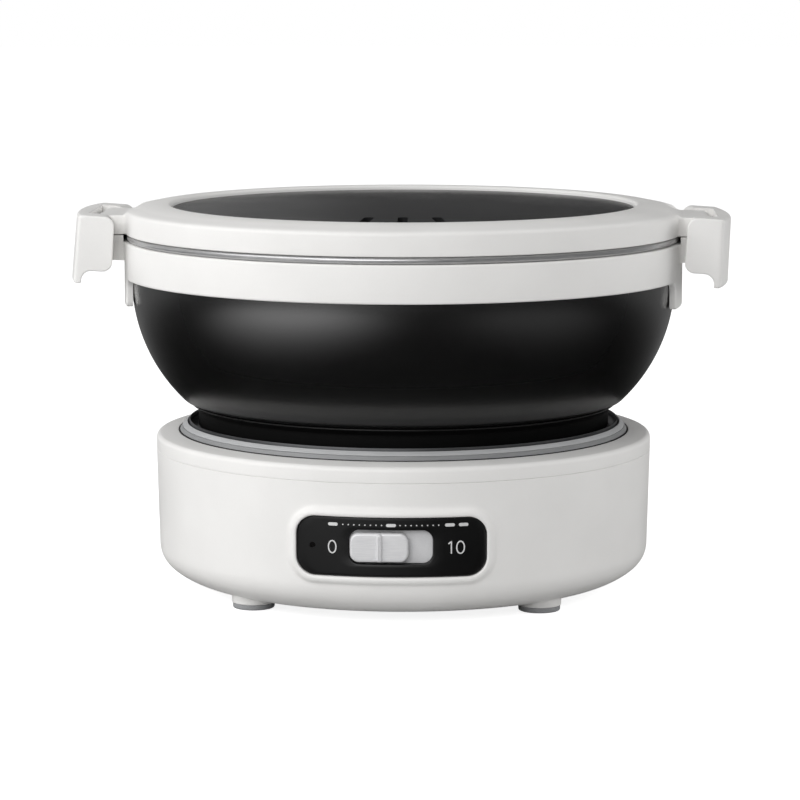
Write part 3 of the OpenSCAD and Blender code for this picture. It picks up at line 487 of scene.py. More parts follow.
# One grey ring in two tones: the upper facet's lighter grey is painted light, and the lower skirt's darker
# grey is painted shade.
RING_SKIRT_PAINTED_SHADE = Finish("Ring skirt in painted shade", tone(150, 151, 152), tone(138, 139, 140), (0.42, 0.52),
                    Pattern.WRAPPED, 2600.0)
RING_GREY_PAINTED_LIT = Finish("Ring in painted light", tone(194, 195, 196), tone(182, 183, 184), (0.42, 0.52), Pattern.WRAPPED,
                   2600.0)
PANEL_BLACK = Finish("Black panel", tone(10, 10, 11), tone(7, 7, 8), (0.38, 0.44), Pattern.COATED,
                     1800.0, 0.03, specular=0.6)
KNOB_SILVER = Finish("Silver knob", tone(235, 235, 236), tone(223, 223, 225), (0.28, 0.38), Pattern.BRUSHED,
                     5200.0, 0.05, metallic=0.1)
BED_SILVER = Finish("Silver slot bed", tone(222, 222, 223), tone(208, 208, 210), (0.36, 0.46), Pattern.COATED,
                    4200.0, 0.08, metallic=0.1)
PAD_RUBBER = Finish("Grey foot rubber", tone(162, 163, 165), tone(146, 147, 150), (0.6, 0.75), Pattern.COATED,
                    1600.0)
SEAL_RUBBER = Finish("Pale seal rubber", tone(206, 206, 203), tone(190, 190, 187), (0.5, 0.6), sheen=0.2)
PLATE_CAST = Finish("Turned cast plate", tone(146, 147, 149), tone(108, 109, 111), (0.30, 0.45),
                    Pattern.TURNED, 2200.0, 0.25, 0.00008, metallic=0.9)
SHEET_METAL = Finish("Rolled sheet", tone(190, 191, 193), tone(160, 161, 163), (0.3, 0.42), Pattern.BRUSHED,
                     1800.0, metallic=1.0)
TUBE_STEEL = Finish("Heated tube", tone(104, 100, 98), tone(70, 66, 64), (0.4, 0.55), Pattern.COATED,
                    700.0, metallic=0.9)
BOLT_STEEL = Finish("Plated steel", tone(178, 178, 174), tone(140, 140, 137), (0.26, 0.38), Pattern.TURNED,
                    3000.0, metallic=1.0)
LENS_SMOKE = Finish("Smoked lens", tone(20, 18, 18), tone(12, 11, 11), (0.12, 0.2), Pattern.COATED,
                    900.0, coat=0.6)
SWITCH_BROWN = Finish("Switch body", tone(92, 66, 48), tone(76, 54, 39), (0.45, 0.55), Pattern.COATED)
BOARD_GREEN = Finish("Board laminate", tone(40, 84, 52), tone(30, 66, 40), (0.35, 0.45), Pattern.BRUSHED,
                     900.0)
INLET_BLACK = Finish("Inlet nylon", tone(30, 30, 31), tone(22, 22, 23), (0.45, 0.58), Pattern.COATED, 1700.0)
PIN_BRASS = Finish("Pin brass", tone(206, 180, 118), tone(178, 152, 96), (0.24, 0.36), Pattern.BRUSHED,
                   2400.0, metallic=1.0)
PRINT_INK = Finish("Pale print", tone(226, 226, 226), tone(212, 212, 212), (0.5, 0.6), Pattern.COATED, 3000.0)


# Repeats


def open_tree(name: str, **inputs: str) -> tuple[Net, Sockets]:
    """Starts a geometry tree.

    Args:
        name: Name of the tree.
        inputs: Type of each input, beside its geometry and its material.

    Returns:
        The net to build in and the sockets that its inputs come out of.
    """
    tree = bpy.data.node_groups.new(name, "GeometryNodeTree")
    declare(tree, "INPUT", Geometry="Geometry", **inputs, Material="Material")
    declare(tree, "OUTPUT", Geometry="Geometry")
    net = Net(tree)
    return net, net.add("NodeGroupInput").outputs


def close_tree(net: Net, entry: Sockets, shape: Socket) -> bpy.types.NodeTree:
    """Leads a shape out of a geometry tree, made real and with the material on it."""
    solid = net.add("GeometryNodeRealizeInstances", {"Geometry": shape}).outputs[0]
    paint = net.add("GeometryNodeSetMaterial", {"Geometry": solid, "Material": entry["Material"]})
    net.add("NodeGroupOutput", {"Geometry": paint.outputs[0]})
    return net.tree


def run_tree(item: bpy.types.Object, tree: bpy.types.NodeTree, values: dict[str, object]) -> None:
    """Runs a geometry tree on an item with named inputs and keeps the mesh that it makes."""
    change = item.modifiers.new("layout", "NODES")
    change.node_group = tree
    for socket in tree.interface.items_tree:
        if socket.in_out == "INPUT" and socket.name in values:
            change[socket.identifier] = values[socket.name]
    settle(item)


class Layout(Enum):
    """Ways to lay out copies of an item."""

    CORNERS = "Copies at four corners"
    RING = "Copies round the axis"
    FACE_ROW = "Copies along the panel face"


class Repeater:
    """Geometry Nodes trees that lay out copies, each built once."""

    def __init__(self) -> None:
        """Starts with no trees."""
        self.trees: dict[Layout, bpy.types.NodeTree] = {}
        self.makers = {Layout.CORNERS: self.corners, Layout.RING: self.ring, Layout.FACE_ROW: self.face_row}

    def lay(self, item: bpy.types.Object, layout: Layout, material: bpy.types.Material,
            **sizes: float) -> None:
        """Turns an item at the origin into its laid-out copies.

        Args:
            item: Object that holds one copy, in place on its own origin.
            layout: How the copies lie.
            material: Material that the copies get.
            sizes: Values of the tree's inputs.
        """
        if layout not in self.trees:
            self.trees[layout] = self.makers[layout]()
        run_tree(item, self.trees[layout], {**sizes, "Material": material})

    def copies(self, net: Net, entry: Sockets, points: Socket, **turn: Socket) -> bpy.types.NodeTree:
        """Sets a copy on each point, turned where a Rotation is given, and returns the finished tree."""
        feeds = {"Points": points, "Instance": entry["Geometry"], **turn}
        shape = net.add("GeometryNodeInstanceOnPoints", feeds).outputs[0]
        return close_tree(net, entry, shape)

    def corners(self) -> bpy.types.NodeTree:
        """Returns the tree for the four corners of a rectangle round the axis."""
        net, entry = open_tree(Layout.CORNERS.value, Width="Float", Depth="Float")
        feeds = {"Vertices X": 2, "Vertices Y": 2, "Size X": entry["Width"], "Size Y": entry["Depth"]}
        return self.copies(net, entry, net.add("GeometryNodeMeshGrid", feeds).outputs["Mesh"])

    def ring(self) -> bpy.types.NodeTree:
        """Returns the tree for points on a circle, with each copy turned to face outwards."""
        net, entry = open_tree(Layout.RING.value, Count="Int", Radius="Float", First="Float")
        circle = net.add("GeometryNodeMeshCircle", {"Vertices": entry["Count"], "Radius": entry["Radius"]})
        feeds = {"Geometry": circle.outputs["Mesh"], "Rotation": net.join(Z=entry["First"])}
        points = net.add("GeometryNodeTransform", feeds).outputs["Geometry"]
        x, y, _ = net.split(net.add("GeometryNodeInputPosition").outputs[0])
        return self.copies(net, entry, points, Rotation=net.join(Z=net.math("ARCTAN2", y, x)))

    def face_row(self) -> bpy.types.NodeTree:
        """Returns the tree for a row on an upright cylinder's front, each copy turned to its face."""
        net, entry = open_tree(Layout.FACE_ROW.value, Count="Int", Start="Float", Pitch="Float",
                               Height="Float", Radius="Float")
        start = net.join(X=entry["Start"], Z=entry["Height"])
        feeds = {"Count": entry["Count"], "Start Location": start, "Offset": net.join(X=entry["Pitch"])}
        line = net.add("GeometryNodeMeshLine", feeds).outputs["Mesh"]
        x, _, z = net.split(net.add("GeometryNodeInputPosition").outputs[0])
        radius = entry["Radius"]
        square = net.math("SUBTRACT", net.times(radius, radius), net.times(x, x))
        bent = net.join(X=x, Y=net.times(net.math("SQRT", square), -1.0), Z=z)
        points = net.add("GeometryNodeSetPosition", {"Geometry": line, "Position": bent}).outputs["Geometry"]
        turn = net.math("ARCSINE", net.math("DIVIDE", x, radius))
        return self.copies(net, entry, points, Rotation=net.join(Z=turn))


# Workshop


class Shop:
    """Holds the finished materials and fits pieces to the frame."""

    def __init__(self, nodes: dict[str, bpy.types.Object]) -> None:
        """Takes the CAD nodes of the frame."""
        self.nodes = nodes
        self.book = PatternBook()
        self.repeater = Repeater()
        self.made: dict[str, bpy.types.Material] = {}

    def material(self, finish: Finish) -> bpy.types.Material:
        """Returns the material of a finish, made on its first use."""
        if finish.name not in self.made:
            self.made[finish.name] = finish.build(self.book)
        return self.made[finish.name]

    def paint(self, piece: bpy.types.Object, finish: Finish) -> None:
        """Gives a piece one finish all over."""
        piece.data.materials.clear()
        piece.data.materials.append(self.material(finish))

    def fit(self, piece: bpy.types.Object, body: str, slot: str, finish: Finish, *replaced: str) -> None:
        """Dresses a piece and lets it ride on its body.

        Args:
            piece: Finished mesh object.
            body: Body that carries it.
            slot: Not used.
            finish: Finish of the whole piece.
            replaced: CAD nodes that it stands for.
        """
        self.paint(piece, finish)
        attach(piece, body)
        if replaced:
            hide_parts(*replaced)
        LOG.info("%s rides on %s, %d faces", piece.name, body, len(piece.data.polygons))

    def turn(self, name: str, corners: Sequence[Corner], steps: int, body: str, slot: str, finish: Finish,
             *replaced: str) -> None:
        """Turns a closed section into a ring round the axis and fits it.

        Args:
            name: Name of the piece.
            corners: Radius, height and rounding of each corner.
            steps: Chords in each rounding.
            body: Body that carries it.
            slot: Not used.
            finish: Finish of the whole piece.
            replaced: CAD nodes that it stands for.
        """
        form = Form()
        form.lathe(rounded(corners, True, steps))
        self.fit(form.build(name), body, slot, finish, *replaced)

    def dress(self, node: str, finish: Finish) -> None:
        """Gives a CAD node that stays in view its finish."""
        self.paint(self.nodes[node], finish)
        LOG.info("%s keeps its solid, finish %s", node, finish.name)


# Base


@dataclass(frozen=True)
class WallOpening:
    """Opening through the base wall, with the ground shaped round its edge.

    Each level is a distance from the opening's edge and a height over the wall, or over a flat pad.
    """

    side: float
    column: int
    span: int
    low: float
    high: float
    centre_z: float
    core: Point2
    corner: float
    levels: tuple[Point2, ...]
    flat_y: float = 0.0
    flat_levels: tuple[Point2, ...] = ()


PANEL_OPENING = WallOpening(
    side=-1.0, column=0, span=26, low=14.0, high=45.0, centre_z=28.6, core=(26.0, 3.75), corner=6.65,
    levels=((0.0, -2.5), (0.0, 0.75), (0.06, 1.05), (0.2, 1.32), (0.42, 1.5), (0.72, 1.6), (1.05, 1.6),
            (1.4, 1.53), (1.75, 1.38), (2.05, 1.17), (2.32, 0.92), (2.55, 0.66), (2.76, 0.43), (3.0, 0.24),
            (3.3, 0.11), (3.7, 0.03), (4.0, 0.0)))
INLET_OPENING = WallOpening(
    side=1.0, column=180, span=17, low=12.0, high=43.0, centre_z=27.0, core=(11.25, 7.4), corner=2.7,
    levels=((2.15, 0.35), (2.2, 0.16), (2.4, 0.04), (2.8, 0.0)), flat_y=90.236,
    flat_levels=((0.0, -3.0), (0.0, -0.15), (0.15, 0.0), (1.75, 0.0), (2.0, -0.08), (2.12, -0.3)))


@dataclass
class BaseUnit:
    """White base with its cover, feet, grey ring and inlet pad."""

    shop: Shop
    underside: float = 3.1
    floor_rings: tuple[float, ...] = (0.0, 8.0, 20.0, 36.0, 54.0)
    wall: float = 2.6
    wall_z: tuple[int, int] = (12, 50)
    wall_lip: float = 0.6
    seam_z: float = 50.6
    seam_edge: float = 0.14
    top_r: float = 90.0
    low_r: float = 89.1
    round_c: Point2 = (79.6, 15.524)
    round_r: float = 9.5
    sweep_c: Point2 = (71.565, 25.1)
    sweep_r: float = 22.0
    turn: float = 50.0
    cover_low: float = 50.66
    cover_top: float = 55.98
    base_h: float = 57.0
    columns: int = 360
    foot: Point2 = (50.36, 52.15)
    foot_r: float = 7.7
    foot_top: float = 6.6
    foot_columns: int = 64
    pad_r: float = 7.4
    pad_t: float = 1.9
    cut_z: Point2 = (1.0, 9.0)
    slots: int = 16
    slot_half: Point2 = (8.0, 1.5)
    slot_corner: float = 1.45
    slot_ring: float = 0.030
    wells: int = 3
    well_r: float = 3.5
    well_ring: float = 0.060
    well_columns: int = 32
    ring_corners: tuple[Corner, ...] = (
        (78.5, 53.0, 0.0), (79.9, 53.0, 0.0), (80.2, 58.5, 0.1), (80.576, 58.68, 0.12), (78.8, 60.1, 0.25),
        (78.5, 59.6, 0.2))
    skirt_corners: tuple[Corner, ...] = (
        (79.8, 53.0, 0.0), (81.45, 53.0, 0.0), (81.45, 57.2, 0.35), (80.576, 58.55, 0.15), (80.1, 58.3, 0.1))
    gasket_corners: tuple[Corner, ...] = (
        (81.45, 55.0, 0.0), (81.9, 55.0, 0.0), (81.9, 57.1, 0.05), (81.45, 57.25, 0.08))

    def wall_r(self, z: float) -> float:
        """Outer radius of the wall at a height."""
        if z < self.round_c[1]:
            drop = self.round_c[1] - z
            return self.round_c[0] + math.sqrt(self.round_r ** 2 - drop * drop)
        return lerp(self.low_r, self.top_r, (z - self.round_c[1]) / (self.seam_z - self.round_c[1]))

    def profile(self, depth: float) -> list[Point2]:
        """Radius and height of the shell's skin, from the axis out and up.

        Args:
            depth: How far the skin lies inside the outer face.

        Returns:
            The points of the skin, with 1 mm steps on the wall.
        """
        points = [(r, self.underside + depth) for r in self.floor_rings]
        points += arc(self.sweep_c, self.sweep_r - depth, -90.0, -self.turn, 12)
        start = -math.degrees(math.asin((self.round_c[1] - self.wall_z[0]) / self.round_r))
        points += arc(self.round_c, self.round_r - depth, -self.turn, start, 8)[1:-1]
        points += [(self.wall_r(float(z)) - depth, float(z)) for z in range(*self.wall_z)]
        rim = 0.0 if depth > 0.0 else self.seam_edge
        top_r = self.top_r - depth
        points += [(top_r, self.seam_z - self.seam_edge), (top_r - rim, self.seam_z)]
        return points

    def build(self) -> None:
        """Builds every piece of the base."""
        self.build_shell()
        self.build_cover()
        self.build_feet()

    def build_shell(self) -> None:
        """Builds the closed shell with its bezel, inlet pad and underside cuts."""
        form = Form()
        holes: dict[WallOpening, list[list[int]]] = {PANEL_OPENING: [], INLET_OPENING: []}
        tops = []
        turns = [math.radians(k) for k in range(self.columns)]
        for depth in (0.0, self.wall):
            outline = self.profile(depth)
            grid = [form.row((r * math.sin(a), -r * math.cos(a), z) for a in turns) for r, z in outline]
            heights = [z for _, z in outline]
            skipped: set[tuple[int, int]] = set()
            for gap, rings in holes.items():
                i0, i1 = heights.index(gap.low), heights.index(gap.high)
                span = [(gap.column + k) % self.columns for k in range(-gap.span, gap.span + 1)]
                skipped.update((i, k) for i in range(i0, i1) for k in span[:-1])
                edge = [grid[i0][k] for k in span]
                edge += [grid[i][span[-1]] for i in range(i0 + 1, i1)]
                edge += [grid[i1][k] for k in reversed(span)]
                edge += [grid[i][span[0]] for i in range(i1 - 1, i0, -1)]
                rings.append(self.ground(form, gap, edge, depth))
            for i, (low, high) in enumerate(zip(grid, grid[1:])):
                for k in range(self.columns):
                    if (i, k) not in skipped:
                        m = (k + 1) % self.columns
                        form.faces.append((low[k], low[m], high[m], high[k]))
            tops.append(grid[-1])
        form.bridge(*tops)
        for outer, inner in holes.values():
            form.bridge(outer, inner)
        shell = form.build("base_shell")
        self.cut_underside(shell)
        self.shop.fit(shell, "base", "base_white", WHITE_SHELL, "housing")

    def spokes(self, form: Form, gap: WallOpening, edge: list[int]) -> list[tuple[Point2, Point2, float]]:
        """Finds core point, direction and distance past the opening of each point of a patch's edge."""
        rays = []
        for i in edge:
            x = form.points[i][0]
            z = form.points[i][2] - gap.centre_z
            qx = min(max(x, -gap.core[0]), gap.core[0])
            qz = min(max(z, -gap.core[1]), gap.core[1])
            far = math.hypot(x - qx, z - qz)
            rays.append(((qx, qz), ((x - qx) / far, (z - qz) / far), far - gap.corner))
        return rays

    def ground(self, form: Form, gap: WallOpening, edge: list[int], depth: float) -> list[int]:
        """Shapes the skin between a patch's edge and the opening.

        Args:
            form: Form that the rows go into.
            gap: The opening.
            edge: Numbers of the points round the patch.
            depth: 0 for the outer skin, the wall for the inner one.

        Returns:
            The row at the opening's own edge.
        """
        rays = self.spokes(form, gap, edge)
        plan = [(0.0, -depth - self.wall_lip, False)]
        if depth == 0.0:
            plan = [(e, h, True) for e, h in gap.flat_levels] + [(e, h, False) for e, h in gap.levels]
        rows = [form.row(self.place(gap, q, d, e, h, is_flat) for q, d, _ in rays) for e, h, is_flat in plan]
        last = plan[-1][0]
        for t in (0.25, 0.5, 0.75):
            ring = [self.place(gap, q, d, lerp(last, far, t), -depth, False) for q, d, far in rays]
            rows.append(form.row(ring))
        form.skin([*rows, edge])
        return rows[0]

    def place(self, gap: WallOpening, q: Point2, d: Point2, e: float, h: float, is_flat: bool) -> Point3:
        """Point of the ground at a distance from an opening's edge.

        Args:
            gap: The opening.
            q: Core point of the ray.
            d: Direction of the ray.
            e: Distance from the opening's edge.
            h: Height over the wall, or over the flat pad.
            is_flat: Whether the point belongs to the flat pad.

        Returns:
            The point.
        """
        x = q[0] + d[0] * (gap.corner + e)
        z = q[1] + d[1] * (gap.corner + e) + gap.centre_z
        if is_flat:
            return x, gap.side * (gap.flat_y + h), z
        r = self.wall_r(z) + h
        return x, gap.side * math.sqrt(r * r - x * x), z

    def cut_underside(self, shell: bpy.types.Object) -> None:
        """Cuts the ring of cooling slots and the screw wells."""
        low, high = self.cut_z
        bar = Form()
        outline = rounded_rect(*self.slot_half, self.slot_corner, 6)
        bar.close([bar.row((x, y, z) for x, y in outline) for z in self.cut_z])
        well = Form()
        outline = [(0.0, low), (self.well_r, low), (self.well_r, high), (0.0, high)]
        well.lathe(outline, False, self.well_columns)
        cuts = ((bar, "cooling_tool", self.slots, self.slot_ring, math.pi / self.slots),
                (well, "well_tool", self.wells, self.well_ring, math.pi / 2.0))
        for form, name, count, ring_r, first in cuts:
            tool = form.build(name)
            white = self.shop.material(WHITE_SHELL)
            self.shop.repeater.lay(tool, Layout.RING, white, Count=count, Radius=ring_r, First=first)
            carve(shell, tool)

    def build_cover(self) -> None:
        """Builds the cover above a fine parting line, and the grey ring, skirt and gasket inside it; the ring
        and skirt are one grey in a lighter and a darker tone, as painted light and painted shade.
        """
        corners = [
            (78.5, 50.4, 0.0), (84.0, 50.4, 0.0), (84.0, 45.0, 0.0), (86.8, 45.0, 0.4),
            (86.8, self.cover_low, 0.0), (self.top_r, self.cover_low, self.seam_edge),
            (self.top_r, self.cover_top, 1.9), (81.9, self.base_h, 0.3), (81.9, 53.0, 0.0), (78.5, 53.0, 0.0)
        ]
        self.shop.turn("top_cover_ring", corners, 8, "base", "base_white", WHITE_SHELL, "top_cover")
        self.shop.turn("plate_ring", self.ring_corners, 6, "base", "ring_grey", RING_GREY_PAINTED_LIT, "heat_ring")
        self.shop.turn("plate_ring_skirt", self.skirt_corners, 6, "base", "ring_grey", RING_SKIRT_PAINTED_SHADE)
        self.shop.turn("ring_gasket", self.gasket_corners, 4, "base", "ring_grey", GASKET)

    def build_feet(self) -> None:
        """Builds the four white bosses under the base and their rubber pads."""
        boss = [(0.0, self.pad_t, 0.0), (self.foot_r, self.pad_t, 0.5), (self.foot_r, self.foot_top, 0.0),
                (0.0, self.foot_top, 0.0)]
        pad = [(0.0, 0.3, 0.0), (4.4, 0.3, 0.2), (4.8, 0.0, 0.2), (self.pad_r - 0.05, 0.0, 0.6),
               (self.pad_r, self.pad_t - 0.25, 0.15), (self.pad_r - 0.25, self.pad_t, 0.0),
               (0.0, self.pad_t, 0.0)]
        width, depth = (2.0 * reach * MM for reach in self.foot)
        kinds = (("foot_bosses", boss, "base_white", WHITE_SHELL, ()),
                 ("rubber_pads", pad, "pad_rubber", PAD_RUBBER, ("foot_pads",)))
        for name, corners, slot, finish, replaced in kinds:
            form = Form()
            form.lathe(rounded(corners, False), False, self.foot_columns)
            piece = form.build(name)
            material = self.shop.material(finish)
            self.shop.repeater.lay(piece, Layout.CORNERS, material, Width=width, Depth=depth)
            self.shop.fit(piece, "base", slot, finish, *replaced)


# Control panel


@dataclass
class ControlPanel:
    """Black panel in the bezel, with its slot, knob and printed scale."""

    shop: Shop
    centre_z: float = 28.6
    face_r: float = 89.8355
    half: Point2 = (32.5, 10.25)
    corner: float = 6.5
    slot: Point2 = (14.4, 5.85)
    slot_corner: float = 3.7
    slot_edge: tuple[Point2, ...] = ((0.0, -2.6), (0.0, -0.62), (0.07, -0.32), (0.26, -0.09), (0.58, 0.0))
    outer_edge: tuple[Point2, ...] = ((0.45, 0.0), (0.2, -0.07), (0.05, -0.24), (0.0, -0.5), (0.0, -2.6))
    knob_x: float = -3.9
    knob: Point2 = (9.95, 4.95)
    knob_corner: float = 3.0
    knob_edge: float = 0.8
    knob_back_edge: float = 0.3
    knob_face_y: float = -90.8355
    knob_back_y: float = -87.6355
    rib: Point2 = (0.9, 4.75)
    rib_section: tuple[Point2, ...] = (
        (0.65, -0.25), (0.15, -0.25), (0.03, -0.14), (-0.12, -0.03), (-0.45, 0.0), (-0.75, 0.04),
        (-0.95, 0.17), (-1.06, 0.36), (-1.1, 0.6))
    stem: Point2 = (1.2, 2.0)
    stem_y: Point2 = (-88.2, -80.0)
    lens_x: float = -27.0
    lens_r: float = 1.05
    lens_y: Point2 = (-84.0, -95.0)
    scale_z: float = 7.65
    dash: Point2 = (1.7, 0.55)
    dot_r: float = 0.24
    numeral: Point2 = (1.3, 2.1)
    numeral_z: float = -0.2
    zero_x: Point2 = (-20.1, 23.7)
    one_x: Point2 = (19.6, 20.6)
    stroke_half: float = 0.22
    stroke_step: float = 0.5
    print_lift: float = 0.03
    print_sink: float = 0.05

    def on_face(self, x: float, z: float, lift: float = 0.0) -> Point3:
        """Point on the panel's curved face, with z from the panel's middle."""
        r = self.face_r + lift
        return x, -math.sqrt(r * r - x * x), self.centre_z + z

    def build(self) -> None:
        """Builds the plate, the knob and the print."""
        self.build_plate()
        self.build_knob()
        self.build_scale()
        self.build_numerals()

    def build_plate(self) -> None:
        """Builds the plate as a loft from the slot to the outer edge, with rounded edges."""
        form = Form()
        outer = split_runs(rounded_rect(*self.half, self.corner, 14), 2.0, 16)
        inner = split_runs(rounded_rect(*self.slot, self.slot_corner, 14), 2.0, 16)
        rows = []
        for out, lift in self.slot_edge:
            rows.append(form.row(self.on_face(x, z, lift) for x, z in inset(inner, -out)))
        outer_in = inset(outer, self.outer_edge[0][0])
        inner_out = inset(inner, -self.slot_edge[-1][0])
        for t in (0.2, 0.4, 0.6, 0.8):
            ring = [(lerp(a[0], b[0], t), lerp(a[1], b[1], t)) for a, b in zip(inner_out, outer_in)]
            rows.append(form.row(self.on_face(x, z) for x, z in ring))
        for depth, lift in self.outer_edge:
            rows.append(form.row(self.on_face(x, z, lift) for x, z in inset(outer, depth)))
        form.skin(rows, True)
        plate = form.build("panel_plate")
        drill = Form()
        circle = arc((0.0, 0.0), self.lens_r, 0.0, 345.0, 23)
        hole = [(self.lens_x + u, self.centre_z + v) for u, v in circle]
        drill.close([drill.row((x, y, z) for x, z in hole) for y in self.lens_y])
        carve(plate, drill.build("lens_drill"))
        self.shop.fit(plate, "base", "panel_black", PANEL_BLACK, "control_panel")

    def build_knob(self) -> None:
        """Builds the pillow-shaped knob with its grip rib and its stem."""
        form = Form()

        def slab(y: float, outline: Sequence[Point2]) -> list[int]:
            """Adds an upright outline round the knob's middle and returns its row."""
            return form.row((self.knob_x + x, y, self.centre_z + z) for x, z in outline)

        outline = rounded_rect(*self.knob, self.knob_corner)
        edge = self.knob_edge
        rows = [slab(self.knob_back_y, inset(outline, self.knob_back_edge))]
        rows.append(slab(self.knob_back_y - self.knob_back_edge, outline))
        for k in range(7):
            a = math.radians(15.0 * k)
            y = self.knob_face_y + edge * (1.0 - math.sin(a))
            rows.append(slab(y, inset(outline, edge * (1.0 - math.cos(a)))))
        for t in (0.35, 0.7):
            ring = [(x * (1.0 - t), z * (1.0 - t)) for x, z in inset(outline, edge)]
            rows.append(slab(self.knob_face_y, ring))
        form.close(rows)
        rib = rounded_rect(*self.rib, self.rib[0] - 0.02, 6)
        form.close([slab(self.knob_face_y + y, inset(rib, depth)) for y, depth in self.rib_section])
        stem = rounded_rect(*self.stem, 0.2, 2)
        form.close([slab(y, stem) for y in self.stem_y])
        self.shop.fit(form.build("slide_knob"), "slider", "silver_knob", KNOB_SILVER, "slider_knob")

    def build_scale(self) -> None:
        """Builds the printed dashes and dots of the scale."""
        dash = rounded_rect(*self.dash, self.dash[1] - 0.01, 6)
        dot = arc((0.0, 0.0), self.dot_r, 0.0, 330.0, 11)
        self.print_row("scale_dashes", dash, count=3, start=-19.85, pitch=19.97)
        self.print_row("scale_end_dash", dash, count=1, start=24.7, pitch=1.0)
        self.print_row("scale_dots_left", dot, count=8, start=-16.4, pitch=1.9)
        self.print_row("scale_dots_right", dot, count=8, start=3.2, pitch=1.87)

    def print_row(self, name: str, outline: Sequence[Point2], count: int, start: float, pitch: float) -> None:
        """Prints a row of equal marks on the curved face.

        Args:
            name: Name of the piece.
            outline: Outline of one mark.
            count: Number of marks.
            start: Place of the first mark across the panel.
            pitch: Distance from one mark to the next.
        """
        form = Form()
        form.close([form.row((x, y, z) for x, z in outline) for y in (self.print_sink, -self.print_lift)])
        marks = form.build(name)
        height = (self.centre_z + self.scale_z) * MM
        self.shop.repeater.lay(marks, Layout.FACE_ROW, self.shop.material(PRINT_INK), Count=count,
                               Start=start * MM, Pitch=pitch * MM, Height=height, Radius=self.face_r * MM)
        self.shop.fit(marks, "base", "panel_black", PRINT_INK)

    def build_numerals(self) -> None:
        """Builds the numerals at the two ends of the scale."""
        form = Form()
        middle = self.numeral_z
        wide, tall = self.numeral
        turns = [2.0 * math.pi * k / 40 for k in range(41)]
        zero = [(wide * math.cos(a), middle + tall * math.sin(a)) for a in turns]
        flag, stem = self.one_x
        self.stroke(form, [(x + self.zero_x[0], z) for x, z in zero])
        self.stroke(form, [(flag, middle + wide), (stem, middle + tall), (stem, middle - tall)])
        self.stroke(form, [(x + self.zero_x[1], z) for x, z in zero])
        self.shop.fit(form.build("panel_numerals"), "base", "panel_black", PRINT_INK)

    def stroke(self, form: Form, path: list[Point2]) -> None:
        """Adds a flat printed stroke with blunt ends along a path on the face."""
        fine: list[Point2] = []
        for a, b in zip(path, path[1:]):
            parts = max(1, math.ceil(math.hypot(b[0] - a[0], b[1] - a[1]) / self.stroke_step))
            fine += [(lerp(a[0], b[0], k / parts), lerp(a[1], b[1], k / parts)) for k in range(parts)]
        fine.append(path[-1])
        rows = []
        for i, (x, z) in enumerate(fine):
            a = fine[max(i - 1, 0)]
            b = fine[min(i + 1, len(fine) - 1)]
            size = math.hypot(b[0] - a[0], b[1] - a[1]) or 1.0
            nx, nz = -(b[1] - a[1]) / size * self.stroke_half, (b[0] - a[0]) / size * self.stroke_half
            left, right = (x + nx, z + nz), (x - nx, z - nz)
            rows.append(form.row([
                self.on_face(*left, self.print_lift), self.on_face(*right, self.print_lift),
                self.on_face(*right, -self.print_sink), self.on_face(*left, -self.print_sink)
            ]))
        is_loop = math.hypot(fine[0][0] - fine[-1][0], fine[0][1] - fine[-1][1]) < SLIVER
        if is_loop:
            form.skin(rows[:-1], True)
        else:
            form.close(rows)


# Pot


def root_fillet(ring_r: float, half: float, fillet: float) -> tuple[Point2, float]:
    """Returns the centre of the fillet between a wing and its ring, and the angle where it meets the ring."""
    c_y = half + fillet
    c_x = math.sqrt((ring_r + fillet) ** 2 - c_y ** 2)
    return (c_x, c_y), math.degrees(math.atan2(-c_y, -c_x)) + 360.0


def wing_plan(ring_r: float, root_r: float, tip_x: float, half: float, fillet: float) -> list[Point2]:
    """Plan outline of a wing on the right, with fillets into its ring.

    Args:
        ring_r: Radius of the ring that carries it.
        root_r: Radius at which the outline starts, inside the ring or clear of it.
        tip_x: Place of the tip.
        half: Half width.
        fillet: Radius of the fillets at the root.

    Returns:
        The outline, counter-clockwise.
    """
    corner = 0.5
    centre, start = root_fillet(ring_r, half, fillet)
    neck = centre[0]
    side = [p for p in arc(centre, fillet, 270.0, start, 8) if math.hypot(*p) >= root_r - 1e-6]
    if root_r > ring_r:
        side.append((math.sqrt(root_r ** 2 - side[-1][1] ** 2), side[-1][1]))
    a = math.atan2(side[-1][1], side[-1][0])
    turns = [lerp(a, -a, k / 24) for k in range(1, 24)]
    root = [(root_r * math.cos(turn), root_r * math.sin(turn)) for turn in turns]
    end = [(neck, -half, 0.0), (tip_x, -half, corner), (tip_x, half, corner), (neck, half, 0.0)]
    lower = [(x, -y) for x, y in reversed(side)]
    return lower + rounded(end, False)[1:-1] + side + root


